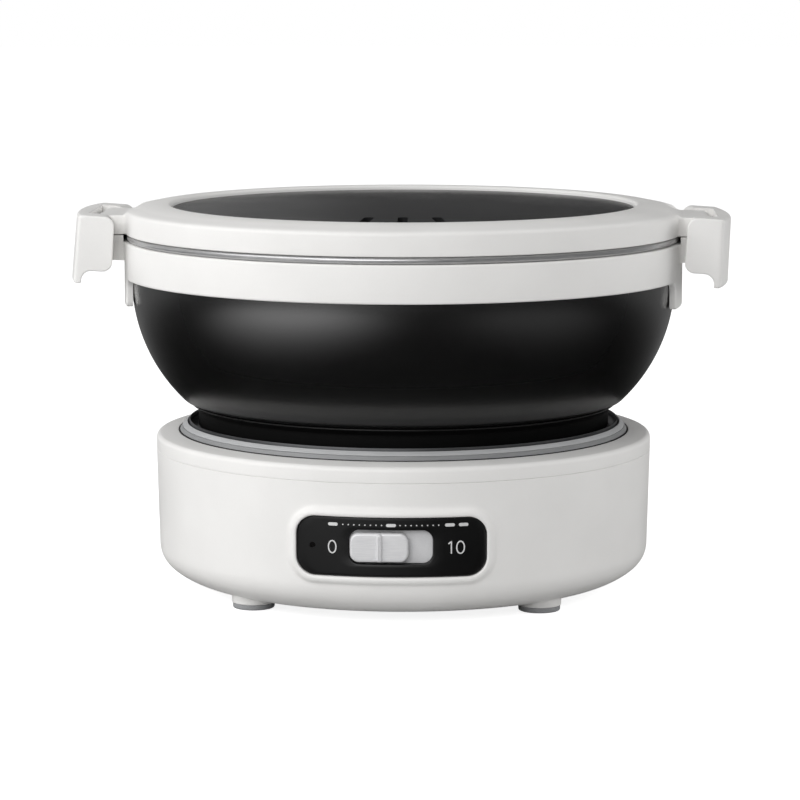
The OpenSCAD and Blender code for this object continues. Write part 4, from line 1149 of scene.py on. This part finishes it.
@dataclass
class Pot:
    """Black pot with its stepped foot, steel rim and white collar."""

    shop: Shop
    top_z: float = 127.9
    top_edge: float = 0.3
    wall_r: float = 98.4
    wall_z: float = 113.0
    inner_r: float = 96.2
    bowl_c: Point2 = (38.9, 111.75)
    bowl_r: float = 59.5
    turn_c: Point2 = (76.969, 72.75)
    turn_r: float = 5.0
    turn_a: float = -45.69
    inner_c: Point2 = (41.496, 111.75)
    inner_bowl_r: float = 54.704
    inner_a: float = -68.08
    floor_z: float = 61.0
    floor_r: float = 30.0
    step_corners: tuple[Corner, ...] = (
        (0.0, 58.2, 0.0), (72.4, 58.2, 0.6), (73.9, 59.7, 0.6), (73.9, 65.2, 1.0), (76.0, 67.0, 0.3),
        (76.0, 67.75, 0.1), (76.5, 67.75, 0.0))
    foot_corners: tuple[Corner, ...] = (
        (0.0, 57.5, 0.0), (40.0, 57.5, 0.0), (73.2, 57.5, 0.6), (74.7, 59.0, 0.6), (74.7, 64.9, 1.2),
        (77.0, 66.8, 0.3), (77.0, 67.2, 0.15), (76.2, 67.25, 0.15), (76.2, 67.6, 0.0), (75.8, 67.6, 0.0),
        (75.8, 67.05, 0.2), (73.8, 65.25, 0.9), (73.8, 59.75, 0.5), (72.35, 58.3, 0.5), (0.0, 58.3, 0.0))
    foot_edge_corners: tuple[Corner, ...] = (
        (76.7, 66.75, 0.1), (77.2, 66.75, 0.16), (77.2, 67.22, 0.16), (76.7, 67.22, 0.1))
    rim_hook: tuple[Point2, ...] = (
        (95.55, 122.9), (96.1, 122.9), (96.1, 127.95), (98.45, 127.95), (98.45, 126.4))
    bead_c: Point2 = (98.9, 127.4)
    bead_r: float = 1.2
    collar_in: float = 98.6
    collar_out: float = 101.0
    collar_low: float = 112.9
    collar_top: float = 126.1
    collar_edge: float = 0.7
    collar_parts: int = 90
    apron_half: float = 24.0
    apron_low: float = 103.1
    apron_fillet: float = 4.0
    apron_corner: float = 2.0
    wing_half: float = 17.5
    wing_tip: float = 110.35
    wing_low: float = 119.3
    wing_top: float = 128.4
    wing_bend: float = 2.5
    wing_fillet: float = 3.0

    def build(self) -> None:
        """Builds the bowl, its foot, the rim and the collar."""
        self.build_bowl()
        self.build_foot()
        self.build_rim()
        self.build_collar()

    def build_bowl(self) -> None:
        """Builds the bowl with its turned-under side and stepped foot."""
        form = Form()
        edge = self.top_edge
        outline = rounded(self.step_corners, False)
        outline += arc(self.turn_c, self.turn_r, -90.0, self.turn_a, 8)
        outline += arc(self.bowl_c, self.bowl_r, self.turn_a, 0.0, 44)[1:]
        outline += rounded([(self.wall_r, self.wall_z, 0.0), (self.wall_r, self.top_z, edge),
                            (self.inner_r, self.top_z, edge), (self.inner_r, self.wall_z, 0.0)], False)
        outline += arc(self.inner_c, self.inner_bowl_r, 0.0, self.inner_a, 40)
        outline += [(self.floor_r, self.floor_z), (0.0, self.floor_z)]
        form.lathe(outline, False)
        self.shop.fit(form.build("pot_shell"), "pot", "pot_black", BLACK_COAT, "pot_bowl")

    def build_foot(self) -> None:
        """Builds the matt foot ring that the bowl stands on, with its flare and groove, and a thin edge ring
        in a lighter grey that is a painted highlight on the flare's edge.
        """
        form = Form()
        form.lathe(rounded(self.foot_corners, False), False)
        self.shop.fit(form.build("pot_foot"), "pot", "pot_black", BLACK_FOOT)
        self.shop.turn("pot_foot_edge", self.foot_edge_corners, 5, "pot", "pot_black", FOOT_EDGE_PAINTED_HIGHLIGHT)

    def build_rim(self) -> None:
        """Builds the steel rim with its rolled bead."""
        form = Form()
        top = self.bead_c[1] + self.bead_r
        inner = self.rim_hook[0][0]
        outline = [*self.rim_hook, *arc(self.bead_c, self.bead_r, -112.0, 90.0, 24)]
        outline += rounded([(98.0, top, 0.0), (inner, top, 0.6), (inner, 125.0, 0.0)], False)
        form.lathe(outline)
        self.shop.fit(form.build("rolled_rim"), "pot", "rim_steel", RIM_STEEL, "pot_rim")

    def low_edge(self) -> list[Point2]:
        """Returns angle in degrees and height along the collar's lower edge, right round."""
        fillet, corner = self.apron_fillet, self.apron_corner
        path = arc((-self.apron_half - fillet, self.collar_low - fillet), fillet, 90.0, 0.0, 8)
        path += arc((-self.apron_half + corner, self.apron_low + corner), corner, 180.0, 270.0, 8)
        bends = list(path)
        path += [(y, self.apron_low) for y in range(-20, 21, 2)]
        path += [(-y, z) for y, z in reversed(bends)]
        right = [(math.degrees(math.asin(y / self.collar_out)), z) for y, z in path]
        last = right[-1][0]
        step = (180.0 - 2.0 * last) / self.collar_parts
        edge = []
        for half_turn in (0.0, 180.0):
            edge += [(a + half_turn, z) for a, z in right]
            edge += [(half_turn + last + step * k, self.collar_low) for k in range(1, self.collar_parts)]
        return edge

    def build_collar(self) -> None:
        """Builds the collar band with its aprons and the two wings under the lid's."""
        form = Form()
        edge = self.low_edge()
        normals = []
        for i in range(len(edge)):
            a, b = edge[i - 1], edge[(i + 1) % len(edge)]
            ds = math.radians((b[0] - a[0] + 180.0) % 360.0 - 180.0) * self.collar_out
            dz = b[1] - a[1]
            size = math.hypot(ds, dz) or 1.0
            normals.append((-dz / size, ds / size))

        def follow(depth: float, radius: float, level: float | None = None) -> list[int]:
            """Adds a row set into the band by depth, along the lower edge or at a level."""
            ring = []
            for (angle, low), (ns, nz) in zip(edge, normals):
                a = math.radians(angle) + ns * depth / self.collar_out
                z = low + nz * depth if level is None else level
                ring.append((radius * math.cos(a), radius * math.sin(a), z))
            return form.row(ring)

        r = self.collar_edge
        turns = [math.radians(15.0 * k) for k in range(7)]
        rows = [follow(0.0, self.collar_in)]
        for a in turns:
            rows.append(follow(r * (1.0 - math.cos(a)), self.collar_out - r * (1.0 - math.sin(a))))
        for a in turns:
            top = self.collar_top - r * (1.0 - math.sin(a))
            rows.append(follow(r, self.collar_out - r * (1.0 - math.cos(a)), top))
        rows.append(follow(r, self.collar_in, self.collar_top))
        form.skin(rows, True)
        for side in (-1.0, 1.0):
            self.wing(form, side)
        self.shop.fit(form.build("pot_collar"), "pot", "collar_white", WHITE_LID, "collar")

    def wing(self, form: Form, side: float) -> None:
        """Adds one wing of the collar, in a lower block and an upper one set off from the rim.

        Args:
            form: Form that it goes into.
            side: 1 for the right wing, -1 for the left one.
        """
        bend = self.wing_bend
        low = []
        for k in range(9):
            a = math.radians(90.0 * k / 8)
            low.append((self.wing_low + bend * (1.0 - math.cos(a)), bend * (1.0 - math.sin(a)),
                        0.5 * max(0.0, 1.0 - k / 3.0) ** 2))
        low += [(123.5, 0.0, 0.0), (self.collar_top - 0.05, 0.0, 0.0)]
        top = self.wing_top
        high = [(self.collar_top - 0.2, 0.0, 0.0), (top - 0.5, 0.0, 0.0), (top - 0.3, 0.03, 0.03),
                (top - 0.12, 0.14, 0.14), (top, 0.45, 0.45)]
        for layers, root in ((low, self.collar_out - 1.2), (high, self.collar_out + 0.4)):
            rows = []
            for z, back, grow in layers:
                outline = wing_plan(self.collar_out, root, self.wing_tip - back, self.wing_half - grow,
                                    self.wing_fillet + grow)
                rows.append(form.row((side * x, y, z) for x, y in outline))
            form.close(rows)


# Lid


@dataclass
class Lid:
    """White lid frame with two wings, dark window and vents."""

    shop: Shop
    low: float = 128.75
    low_edge: float = 0.5
    ring_r: float = 100.6
    ring_steps: int = 54
    lip_r: float = 84.0
    lip_top: float = 139.064
    lip_round: float = 1.2
    lip_end: float = 86.6
    window_low: float = 133.564
    window_top: float = 137.5
    window_r: float = 83.8
    window_edge: float = 0.4
    window_turn: float = 2.5
    vent: Point2 = (1.75, 12.5)
    vent_y: float = 57.5
    vent_pitch: float = 12.6
    vent_fan: float = 4.5
    ledge_low: float = 131.364
    ledge_r: float = 80.0
    ledge_out: float = 86.2
    ledge_edge: float = 0.3
    crown_c: Point2 = (86.5, 102.75)
    crown_r: float = 36.4
    crown_span: Point2 = (86.0, 95.0)
    blend_run: float = 7.0
    edge_c: Point2 = (99.1, 135.696)
    edge_r: float = 1.5
    edge_a: float = 68.83
    groove: Point2 = (94.75, 98.75)
    groove_roof: float = 131.75
    skirt_in: float = 92.55
    skirt_low: float = 123.75
    skirt_edge: float = 0.35
    roof: float = 134.15
    wing_half: float = 17.5
    wing_top: float = 135.45
    wing_edge: float = 0.9
    wing_fillet: float = 3.0
    wing_corner: float = 1.5
    wing_neck: float = 107.0
    tip_stations: tuple[float, ...] = (0.0, 3.0, 6.0, 9.0, 12.0, 14.0, 15.5)
    pin: Point2 = (108.3, 132.1)
    nose_r: float = 3.35
    nose_share: float = 0.7

    def crown(self, r: float) -> float:
        """Height of the crowned top at a radius."""
        return self.crown_c[1] + math.sqrt(self.crown_r ** 2 - (r - self.crown_c[0]) ** 2)

    def build(self) -> None:
        """Builds the frame and the window and dresses the seal and the pins."""
        form = Form()
        stacks = []
        for (x, y), wing, nose in self.plan():
            far = math.hypot(x, y)
            ux, uy = x / far, y / far
            stacks.append(form.row((ux * r, uy * r, z) for r, z in self.section(far, wing, nose)))
        form.skin(stacks, True)
        self.shop.fit(form.build("lid_frame_body"), "lid", "lid_white", WHITE_LID, "lid_frame")
        self.build_window()
        self.shop.dress("lid_seal", SEAL_RUBBER)
        self.shop.dress("hinge_pins", BOLT_STEEL)

    def build_window(self) -> None:
        """Builds the dark window with its three fanned vents."""
        form = Form()
        low, top = self.window_low, self.window_top
        far, edge = self.window_r, self.window_edge
        corners = [(0.0, low, 0.0), (far, low, 0.0), (far, top, edge), (0.0, top, 0.0)]
        form.lathe(rounded(corners, False), False)
        window = form.build("smoked_window")
        vents = Form()
        turn = math.radians(self.window_turn)
        outline = rounded_rect(*self.vent, self.vent[0] - 0.02, 8)
        for k in (-1, 0, 1):
            tilt = turn + math.radians(k * self.vent_fan)
            x = k * self.vent_pitch * math.cos(turn) + self.vent_y * math.sin(turn)
            y = k * self.vent_pitch * math.sin(turn) - self.vent_y * math.cos(turn)
            ring = [(x + u * math.cos(tilt) - v * math.sin(tilt), y + u * math.sin(tilt) + v * math.cos(tilt))
                    for u, v in outline]
            vents.close([vents.row((px, py, z) for px, py in ring) for z in (low - 1.0, top + 1.0)])
        carve(window, vents.build("vent_tool"))
        for face in window.data.polygons:
            face.use_smooth = abs(face.normal.z) < 0.9
        self.shop.fit(window, "lid", "window_grey", WINDOW, "lid_window")

    def plan(self) -> list[tuple[Point2, float, float]]:
        """Returns the outer outline as points, each with its share of wing and of nose."""
        corner, neck, share = self.wing_corner, self.wing_neck, self.nose_share
        centre, start = root_fillet(self.ring_r, self.wing_half, self.wing_fillet)
        tip = self.pin[0] + self.nose_r
        upper: list[tuple[Point2, float, float]] = [((tip, y), 1.0, 1.0) for y in self.tip_stations]
        for k, point in enumerate(arc((tip - corner, self.wing_half - corner), corner, 0.0, 90.0, 6)):
            upper.append((point, 1.0, 1.0 - k / 6 * (1.0 - share)))
        for k in range(1, 5):
            upper.append(((lerp(tip - corner, neck, k / 4), self.wing_half), 1.0, share * (1.0 - k / 4)))
        for k in range(1, 5):
            upper.append(((lerp(neck, centre[0] + 0.2, k / 4), self.wing_half), 1.0, 0.0))
        for k, point in enumerate(arc(centre, self.wing_fillet, 270.0, start, 10)):
            upper.append((point, 1.0 - ease(k / 10), 0.0))
        first = math.degrees(math.atan2(upper[-1][0][1], upper[-1][0][0]))
        for k in range(1, self.ring_steps + 1):
            a = math.radians(lerp(first, 90.0, k / self.ring_steps))
            upper.append(((self.ring_r * math.cos(a), self.ring_r * math.sin(a)), 0.0, 0.0))
        half = upper + [((-x, y), w, n) for (x, y), w, n in reversed(upper[:-1])]
        return half + [((x, -y), w, n) for (x, y), w, n in reversed(half[1:-1])]

    def section(self, far: float, wing: float, nose: float) -> list[Point2]:
        """Section of the frame along one ray from the axis.

        Args:
            far: Distance of the outer outline on this ray.
            wing: Share of wing, 0 on the plain ring.
            nose: Share of the rounded nose.

        Returns:
            Radius and height round the section.
        """
        edge = lerp(lerp(self.edge_r, self.wing_edge, wing), self.nose_r, nose)
        top_z = lerp(self.edge_c[1] + self.edge_r, self.wing_top, wing)
        first = lerp(self.edge_a, 90.0, wing)
        upper = arc((far - edge, top_z - edge), edge, first, 0.0, 8)
        lip = [(self.lip_r, self.window_low + 0.1, 0.0), (self.lip_r, self.lip_top, self.lip_round),
               (self.lip_end, self.crown(self.lip_end), 0.0)]
        points = rounded(lip, False, 8)[:-1]
        for k in range(10):
            r = lerp(*self.crown_span, k / 9)
            points.append((r, self.crown(r)))
        points += self.blend(self.crown_span[1], upper[0], first)
        points += upper
        low_edge = lerp(self.low_edge, self.nose_r, nose)
        points += arc((far - low_edge, self.low + low_edge), low_edge, 0.0, -90.0, 6)
        inner, outer = self.groove
        bevel = self.skirt_edge
        points += [(outer, self.low), (outer, self.groove_roof), (inner, self.groove_roof)]
        points += [(inner, self.skirt_low + bevel), (inner - bevel, self.skirt_low)]
        points += [(self.skirt_in + bevel, self.skirt_low), (self.skirt_in, self.skirt_low + bevel)]
        points += [(self.skirt_in, self.roof), (self.ledge_out, self.roof), (self.ledge_out, self.ledge_low)]
        bevel = self.ledge_edge
        points += [(self.ledge_r + bevel, self.ledge_low), (self.ledge_r, self.ledge_low + bevel)]
        points += [(self.ledge_r, self.window_low - bevel), (self.ledge_r + bevel, self.window_low)]
        return points

    def blend(self, start_r: float, end: Point2, first: float) -> list[Point2]:
        """Smooth run from the crown to the outer edge, level at the end of a wing.

        Args:
            start_r: Radius where the crown ends.
            end: First point of the outer edge.
            first: Angle of the outer edge's first normal in degrees.

        Returns:
            Points between both ends.
        """
        drop = start_r - self.crown_c[0]
        slope0 = -drop / math.sqrt(self.crown_r ** 2 - drop * drop)
        slope1 = -1.0 / math.tan(math.radians(first)) if first < 89.9 else 0.0
        run = min(end[0] - start_r, self.blend_run)
        points = []
        for k in range(1, 10):
            t = k / 10
            h00 = 2 * t ** 3 - 3 * t ** 2 + 1
            h10 = t ** 3 - 2 * t ** 2 + t
            h01 = -2 * t ** 3 + 3 * t ** 2
            h11 = t ** 3 - t ** 2
            z = h00 * self.crown(start_r) + h10 * run * slope0 + h01 * end[1] + h11 * run * slope1
            points.append((start_r + run * t, z))
        for k in range(3):
            points.append((lerp(start_r + run, end[0], (k + 0.5) / 3.0), end[1]))
        return points


# Latches


@dataclass
class Latch:
    """Side latch: two cheeks round the wing, an outer wall and a finger lip."""

    shop: Shop
    side: float
    lean: float
    pin: Point2 = (108.3, 132.1)
    in_x: float = 101.6
    cheek_draft: float = 0.16
    cheek_rounds: Point2 = (3.6, 5.6)
    cheek_spare: float = 5.0
    cheek_stations: tuple[float, ...] = (26.0, 24.0, 22.0, 20.0)
    top: float = 136.1
    top_round: float = 1.3
    cheek_low: float = 116.4
    lip_low: float = 111.7
    lip_t: float = 2.7
    lip_fillet: float = 3.6
    lip_rounds: Point2 = (1.2, 0.8)
    pocket_x: float = 112.45
    pocket_half: float = 17.9
    pocket_rounds: Point2 = (0.3, 0.3)
    pocket_spare: float = 0.5
    half: float = 29.0
    top_r: float = 118.05
    tip_r: float = 118.65
    end_round: float = 1.1
    end_edge: float = 0.6

    def drum(self, y: float, z: float) -> float:
        """Place of the outer face across the cooker."""
        r = lerp(self.tip_r, self.top_r, (z - self.lip_low) / (self.top - self.lip_low))
        return math.sqrt(r * r - y * y)

    def round_in(self, depth: float, radius: float) -> float:
        """How far a rounded edge stands back at a depth from its end."""
        if depth >= radius:
            return 0.0
        return radius - math.sqrt(radius ** 2 - (radius - depth) ** 2)

    def section(self, y: float, is_cheek: bool) -> list[Point2]:
        """Section across the latch.

        Args:
            y: Place along the latch.
            is_cheek: Whether the section runs through a cheek or past the pocket.

        Returns:
            Points in x and z, before the lean.
        """
        depth = self.half - abs(y)
        cut = self.round_in(depth, self.end_round)
        edge = self.round_in(depth, self.end_edge)
        if is_cheek:
            back = self.in_x + edge + self.cheek_draft * depth
            rounds, spare = self.cheek_rounds, self.cheek_spare
        else:
            back = self.pocket_x
            rounds, spare = self.pocket_rounds, self.pocket_spare
        top = self.top - edge
        low = self.lip_low + edge
        step = self.cheek_low + edge
        lip = self.drum(y, low) - self.lip_t + edge
        r = min(self.lip_fillet, lip - back - spare)
        fillet = arc((lip - r, step - r), r, 0.0, 90.0, 8)
        return rounded([
            (back, top, rounds[0]), (self.drum(y, top) - cut, top, self.top_round),
            (self.drum(y, low) - cut, low, self.lip_rounds[0]), (lip, low, self.lip_rounds[1]),
            *[(x, z, 0.0) for x, z in fillet], (back, step, rounds[1])
        ], True, 8)

    def turned(self, x: float, y: float, z: float) -> Point3:
        """Point of the latch on its own side, leaned about the hinge pin."""
        a = math.radians(self.lean)
        dx, dz = x - self.pin[0], z - self.pin[1]
        nx = self.pin[0] + dx * math.cos(a) - dz * math.sin(a)
        nz = self.pin[1] + dx * math.sin(a) + dz * math.cos(a)
        return self.side * nx, y, nz

    def build(self) -> None:
        """Builds the latch as a loft from its front cheek to its back cheek."""
        form = Form()
        ends = [self.half - self.end_round * (1.0 - math.cos(math.radians(11.25 * k))) for k in range(9)]
        cheek = sorted({*ends, self.half - 0.15, self.half - 0.35, *self.cheek_stations}, reverse=True)
        stations = [(-y, True) for y in cheek] + [(-self.pocket_half, True)]
        stations += [(float(y), False) for y in (-self.pocket_half, *range(-15, 16, 3), self.pocket_half)]
        stations += [(self.pocket_half, True)] + [(y, True) for y in reversed(cheek)]
        rows = []
        for y, is_cheek in stations:
            rows.append(form.row(self.turned(x, y, z) for x, z in self.section(y, is_cheek)))
        form.close(rows)
        name = "latch_right" if self.side > 0 else "latch_left"
        self.shop.fit(form.build(name + "_buckle"), name, "latch_white", WHITE_LID, name)


# Sensor spring


@dataclass
class SensorSpring:
    """Coil spring under the sensor cap; the real spring shortens as the pot presses the cap, but this one is
    built at one length.
    """

    shop: Shop
    turns: float = 5.0
    wire_r: float = 0.0005
    travel: float = 0.002
    chords: int = 40
    wire_sides: int = 14
    crease: float = 50.0

    def build(self) -> None:
        """Winds the spring in the space of its solid."""
        low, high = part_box("sensor_spring")
        tall = high[2] - low[2]
        form = Form()
        form.row([(0.0, 0.0, 0.0)])
        spring = form.build("coil_spring")
        run_tree(spring, self.make(), {
            "Turns": self.turns, "Radius": (high[0] - low[0]) / 2.0 - self.wire_r, "Wire": self.wire_r,
            "Height": tall - 2.0 * self.wire_r, "Low": low[2] + self.wire_r,
            "Material": self.shop.material(BOLT_STEEL)
        })
        clean_mesh(spring.data)
        smooth_mesh(spring.data, self.crease)
        self.shop.fit(spring, "base", "steel", BOLT_STEEL, "sensor_spring")
        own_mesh(spring)

    def make(self) -> bpy.types.NodeTree:
        """Builds the tree that winds a round wire along a helix and returns it."""
        net, entry = open_tree("Coil spring", Turns="Float", Radius="Float", Wire="Float", Height="Float",
                               Low="Float")
        helix = net.add("GeometryNodeCurveSpiral", {
            "Resolution": self.chords, "Rotations": entry["Turns"], "Height": entry["Height"],
            "Start Radius": entry["Radius"], "End Radius": entry["Radius"]
        }).outputs["Curve"]
        feeds = {"Resolution": self.wire_sides, "Radius": entry["Wire"]}
        wire = net.add("GeometryNodeCurvePrimitiveCircle", feeds).outputs["Curve"]
        feeds = {"Curve": helix, "Profile Curve": wire, "Fill Caps": True}
        tube = net.add("GeometryNodeCurveToMesh", feeds).outputs["Mesh"]
        feeds = {"Geometry": tube, "Translation": net.join(Z=entry["Low"])}
        return close_tree(net, entry, net.add("GeometryNodeTransform", feeds).outputs["Geometry"])


# Inner parts that keep their solids


def dress_inner_parts(shop: Shop) -> None:
    """Gives each CAD node that stays in view its finish."""
    finishes = {
        "slot_bed": BED_SILVER, "indicator_lens": LENS_SMOKE, "slide_switch": SWITCH_BROWN,
        "control_board": BOARD_GREEN, "heating_plate": PLATE_CAST, "heating_element": TUBE_STEEL,
        "plate_posts": BOLT_STEEL, "heat_shield": SHEET_METAL, "sensor_cup": SHEET_METAL,
        "sensor_cap": PLATE_CAST, "inlet_socket": INLET_BLACK, "inlet_pins": PIN_BRASS,
        "base_screws": BOLT_STEEL,
    }
    for node, finish in finishes.items():
        shop.dress(node, finish)


# Studio


@dataclass(frozen=True)
class Lamp:
    """Soft square lamp: its place, its power in watts and whether shiny surfaces mirror it."""

    name: str
    at: Point3
    power: float
    in_gloss: bool


@dataclass(frozen=True)
class Pool:
    """Round pool of light on the floor: where it is, how far it reaches and is full, and its strength."""

    centre: Point2
    reach: float
    full: float
    top: float


@dataclass
class Studio:
    """Pale floor, soft lights, white surroundings and the camera."""

    camera_at: Point3 = (0.0578, -1.1986, 0.2342)
    camera_turn: Point3 = (82.06, 0.0, 2.82)
    lens: float = 149.2
    sensor: float = 36.0
    sight: float = 50.0
    aim: Point3 = (0.0, 0.0, 0.08)
    lamp_size: float = 0.9
    lamps: tuple[Lamp, ...] = (
        Lamp("key_front", (-0.34, -1.269, 0.693), 8.0, True),
        Lamp("high_left", (-0.962, -0.555, 1.012), 6.3, True),
        Lamp("side_left", (-1.414, 0.199, 0.332), 5.7, False),
        Lamp("side_right", (1.342, 0.488, 0.332), 10.5, False),
    )
    floor_r: float = 6000.0
    floor_sides: int = 48
    floor_grey: float = 0.62
    floor_glow: float = 0.85
    pools: tuple[Pool, ...] = (
        Pool((-0.42, -0.48), 0.48, 0.10, 1.0),
        Pool((0.46, -0.33), 0.40, 0.10, 0.15),
    )
    behind: Point3 = (0.0, 0.5, 0.16)
    room: Point3 = (-0.095, -0.06, 0.28)
    room_least: float = 0.02
    aside: Point3 = (0.05, 0.13, 0.32)
    soft_light: float = 0.34

    def build(self) -> None:
        """Builds the whole set."""
        self.build_camera()
        self.build_floor()
        self.build_world()
        for lamp in self.lamps:
            self.hang(lamp)

    def build_camera(self) -> None:
        """Places the camera at the photograph's view."""
        data = bpy.data.cameras.new("view")
        data.lens = self.lens
        data.sensor_width = self.sensor
        data.clip_end = self.sight
        camera = bpy.data.objects.new("view", data)
        camera.location = self.camera_at
        camera.rotation_euler = tuple(math.radians(a) for a in self.camera_turn)
        bpy.context.scene.collection.objects.link(camera)
        bpy.context.scene.camera = camera

    def hang(self, lamp: Lamp) -> None:
        """Hangs a lamp that faces the cooker."""
        data = bpy.data.lights.new(lamp.name, "AREA")
        data.size = self.lamp_size
        data.energy = lamp.power
        light = bpy.data.objects.new(lamp.name, data)
        light.location = lamp.at
        light.visible_glossy = lamp.in_gloss
        x, y, z = (a - b for a, b in zip(lamp.at, self.aim))
        light.rotation_euler = (math.atan2(math.hypot(x, y), z), 0.0, math.atan2(y, x) + math.pi / 2.0)
        bpy.context.scene.collection.objects.link(light)

    def build_floor(self) -> None:
        """Lays the floor: white to the camera, shaded under the cooker, with pools of light in gloss."""
        form = Form()
        turns = [2.0 * math.pi * k / self.floor_sides for k in range(self.floor_sides)]
        form.cap(form.row((self.floor_r * math.cos(a), self.floor_r * math.sin(a), 0.0) for a in turns))
        floor = form.build("studio_floor")
        if floor.data.polygons[0].normal.z < 0.0:
            floor.data.flip_normals()
        material = bpy.data.materials.new("Pale floor")
        material.use_nodes = True
        net = Net(material.node_tree)
        net.tree.nodes.remove(net.tree.nodes["Principled BSDF"])
        path = net.add("ShaderNodeLightPath").outputs
        place = net.add("ShaderNodeTexCoord").outputs["Object"]
        grey = (self.floor_grey, self.floor_grey, self.floor_grey, 1.0)
        cloth = net.add("ShaderNodeBsdfDiffuse", {"Color": grey}).outputs[0]
        bright = net.times(path["Is Camera Ray"], self.floor_glow)
        glow = net.add("ShaderNodeEmission", {"Strength": bright}).outputs[0]
        plain = net.add("ShaderNodeAddShader", {0: cloth, 1: glow}).outputs[0]
        strength = net.ramp(net.split(place)["Y"], *self.behind)
        for pool in self.pools:
            feeds = {0: place, 1: (*pool.centre, 0.0)}
            far = net.add("ShaderNodeVectorMath", feeds, operation="DISTANCE").outputs["Value"]
            lit = net.ramp(net.times(far, -1.0), -pool.reach, -pool.full, pool.top)
            strength = net.math("MAXIMUM", strength, lit)
        shine = net.add("ShaderNodeEmission", {"Strength": strength}).outputs[0]
        mixed = net.add("ShaderNodeMixShader", {0: path["Is Glossy Ray"], 1: plain, 2: shine}).outputs[0]
        net.feed(net.tree.nodes["Material Output"].inputs["Surface"], mixed)
        floor.data.materials.append(material)

    def build_world(self) -> None:
        """Makes the surroundings: white behind the cooker, dim in reflections, soft for the light."""
        world = bpy.data.worlds.new("Studio")
        bpy.context.scene.world = world
        world.use_nodes = True
        net = Net(world.node_tree)
        path = net.add("ShaderNodeLightPath").outputs
        x, _, z = net.split(net.add("ShaderNodeTexCoord").outputs["Generated"])
        room = net.math("ADD", net.ramp(net.times(z, -1.0), *self.room), self.room_least)
        room = net.math("ADD", room, net.ramp(net.times(x, -1.0), *self.aside))
        seen = net.math("MAXIMUM", path["Is Camera Ray"], path["Is Transmission Ray"])
        shine = net.times(path["Is Glossy Ray"], room)
        soft = net.times(path["Is Diffuse Ray"], self.soft_light)
        sky = net.tree.nodes["Background"].inputs
        net.feed(sky["Color"], (1.0, 1.0, 1.0, 1.0))
        net.feed(sky["Strength"], net.math("ADD", net.math("ADD", seen, shine), soft))


def main() -> None:
    """Builds the cooker piece by piece around the frame."""
    logging.basicConfig(level=logging.INFO, format="%(name)s: %(message)s")
    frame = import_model()
    bpy.context.scene.view_settings.view_transform = "Standard"
    shop = Shop(frame["nodes"])
    Studio().build()
    BaseUnit(shop).build()
    ControlPanel(shop).build()
    Pot(shop).build()
    Lid(shop).build()
    Latch(shop, side=-1.0, lean=3.7).build()
    Latch(shop, side=1.0, lean=-3.7).build()
    SensorSpring(shop).build()
    dress_inner_parts(shop)


if __name__ == "__main__":
    main()
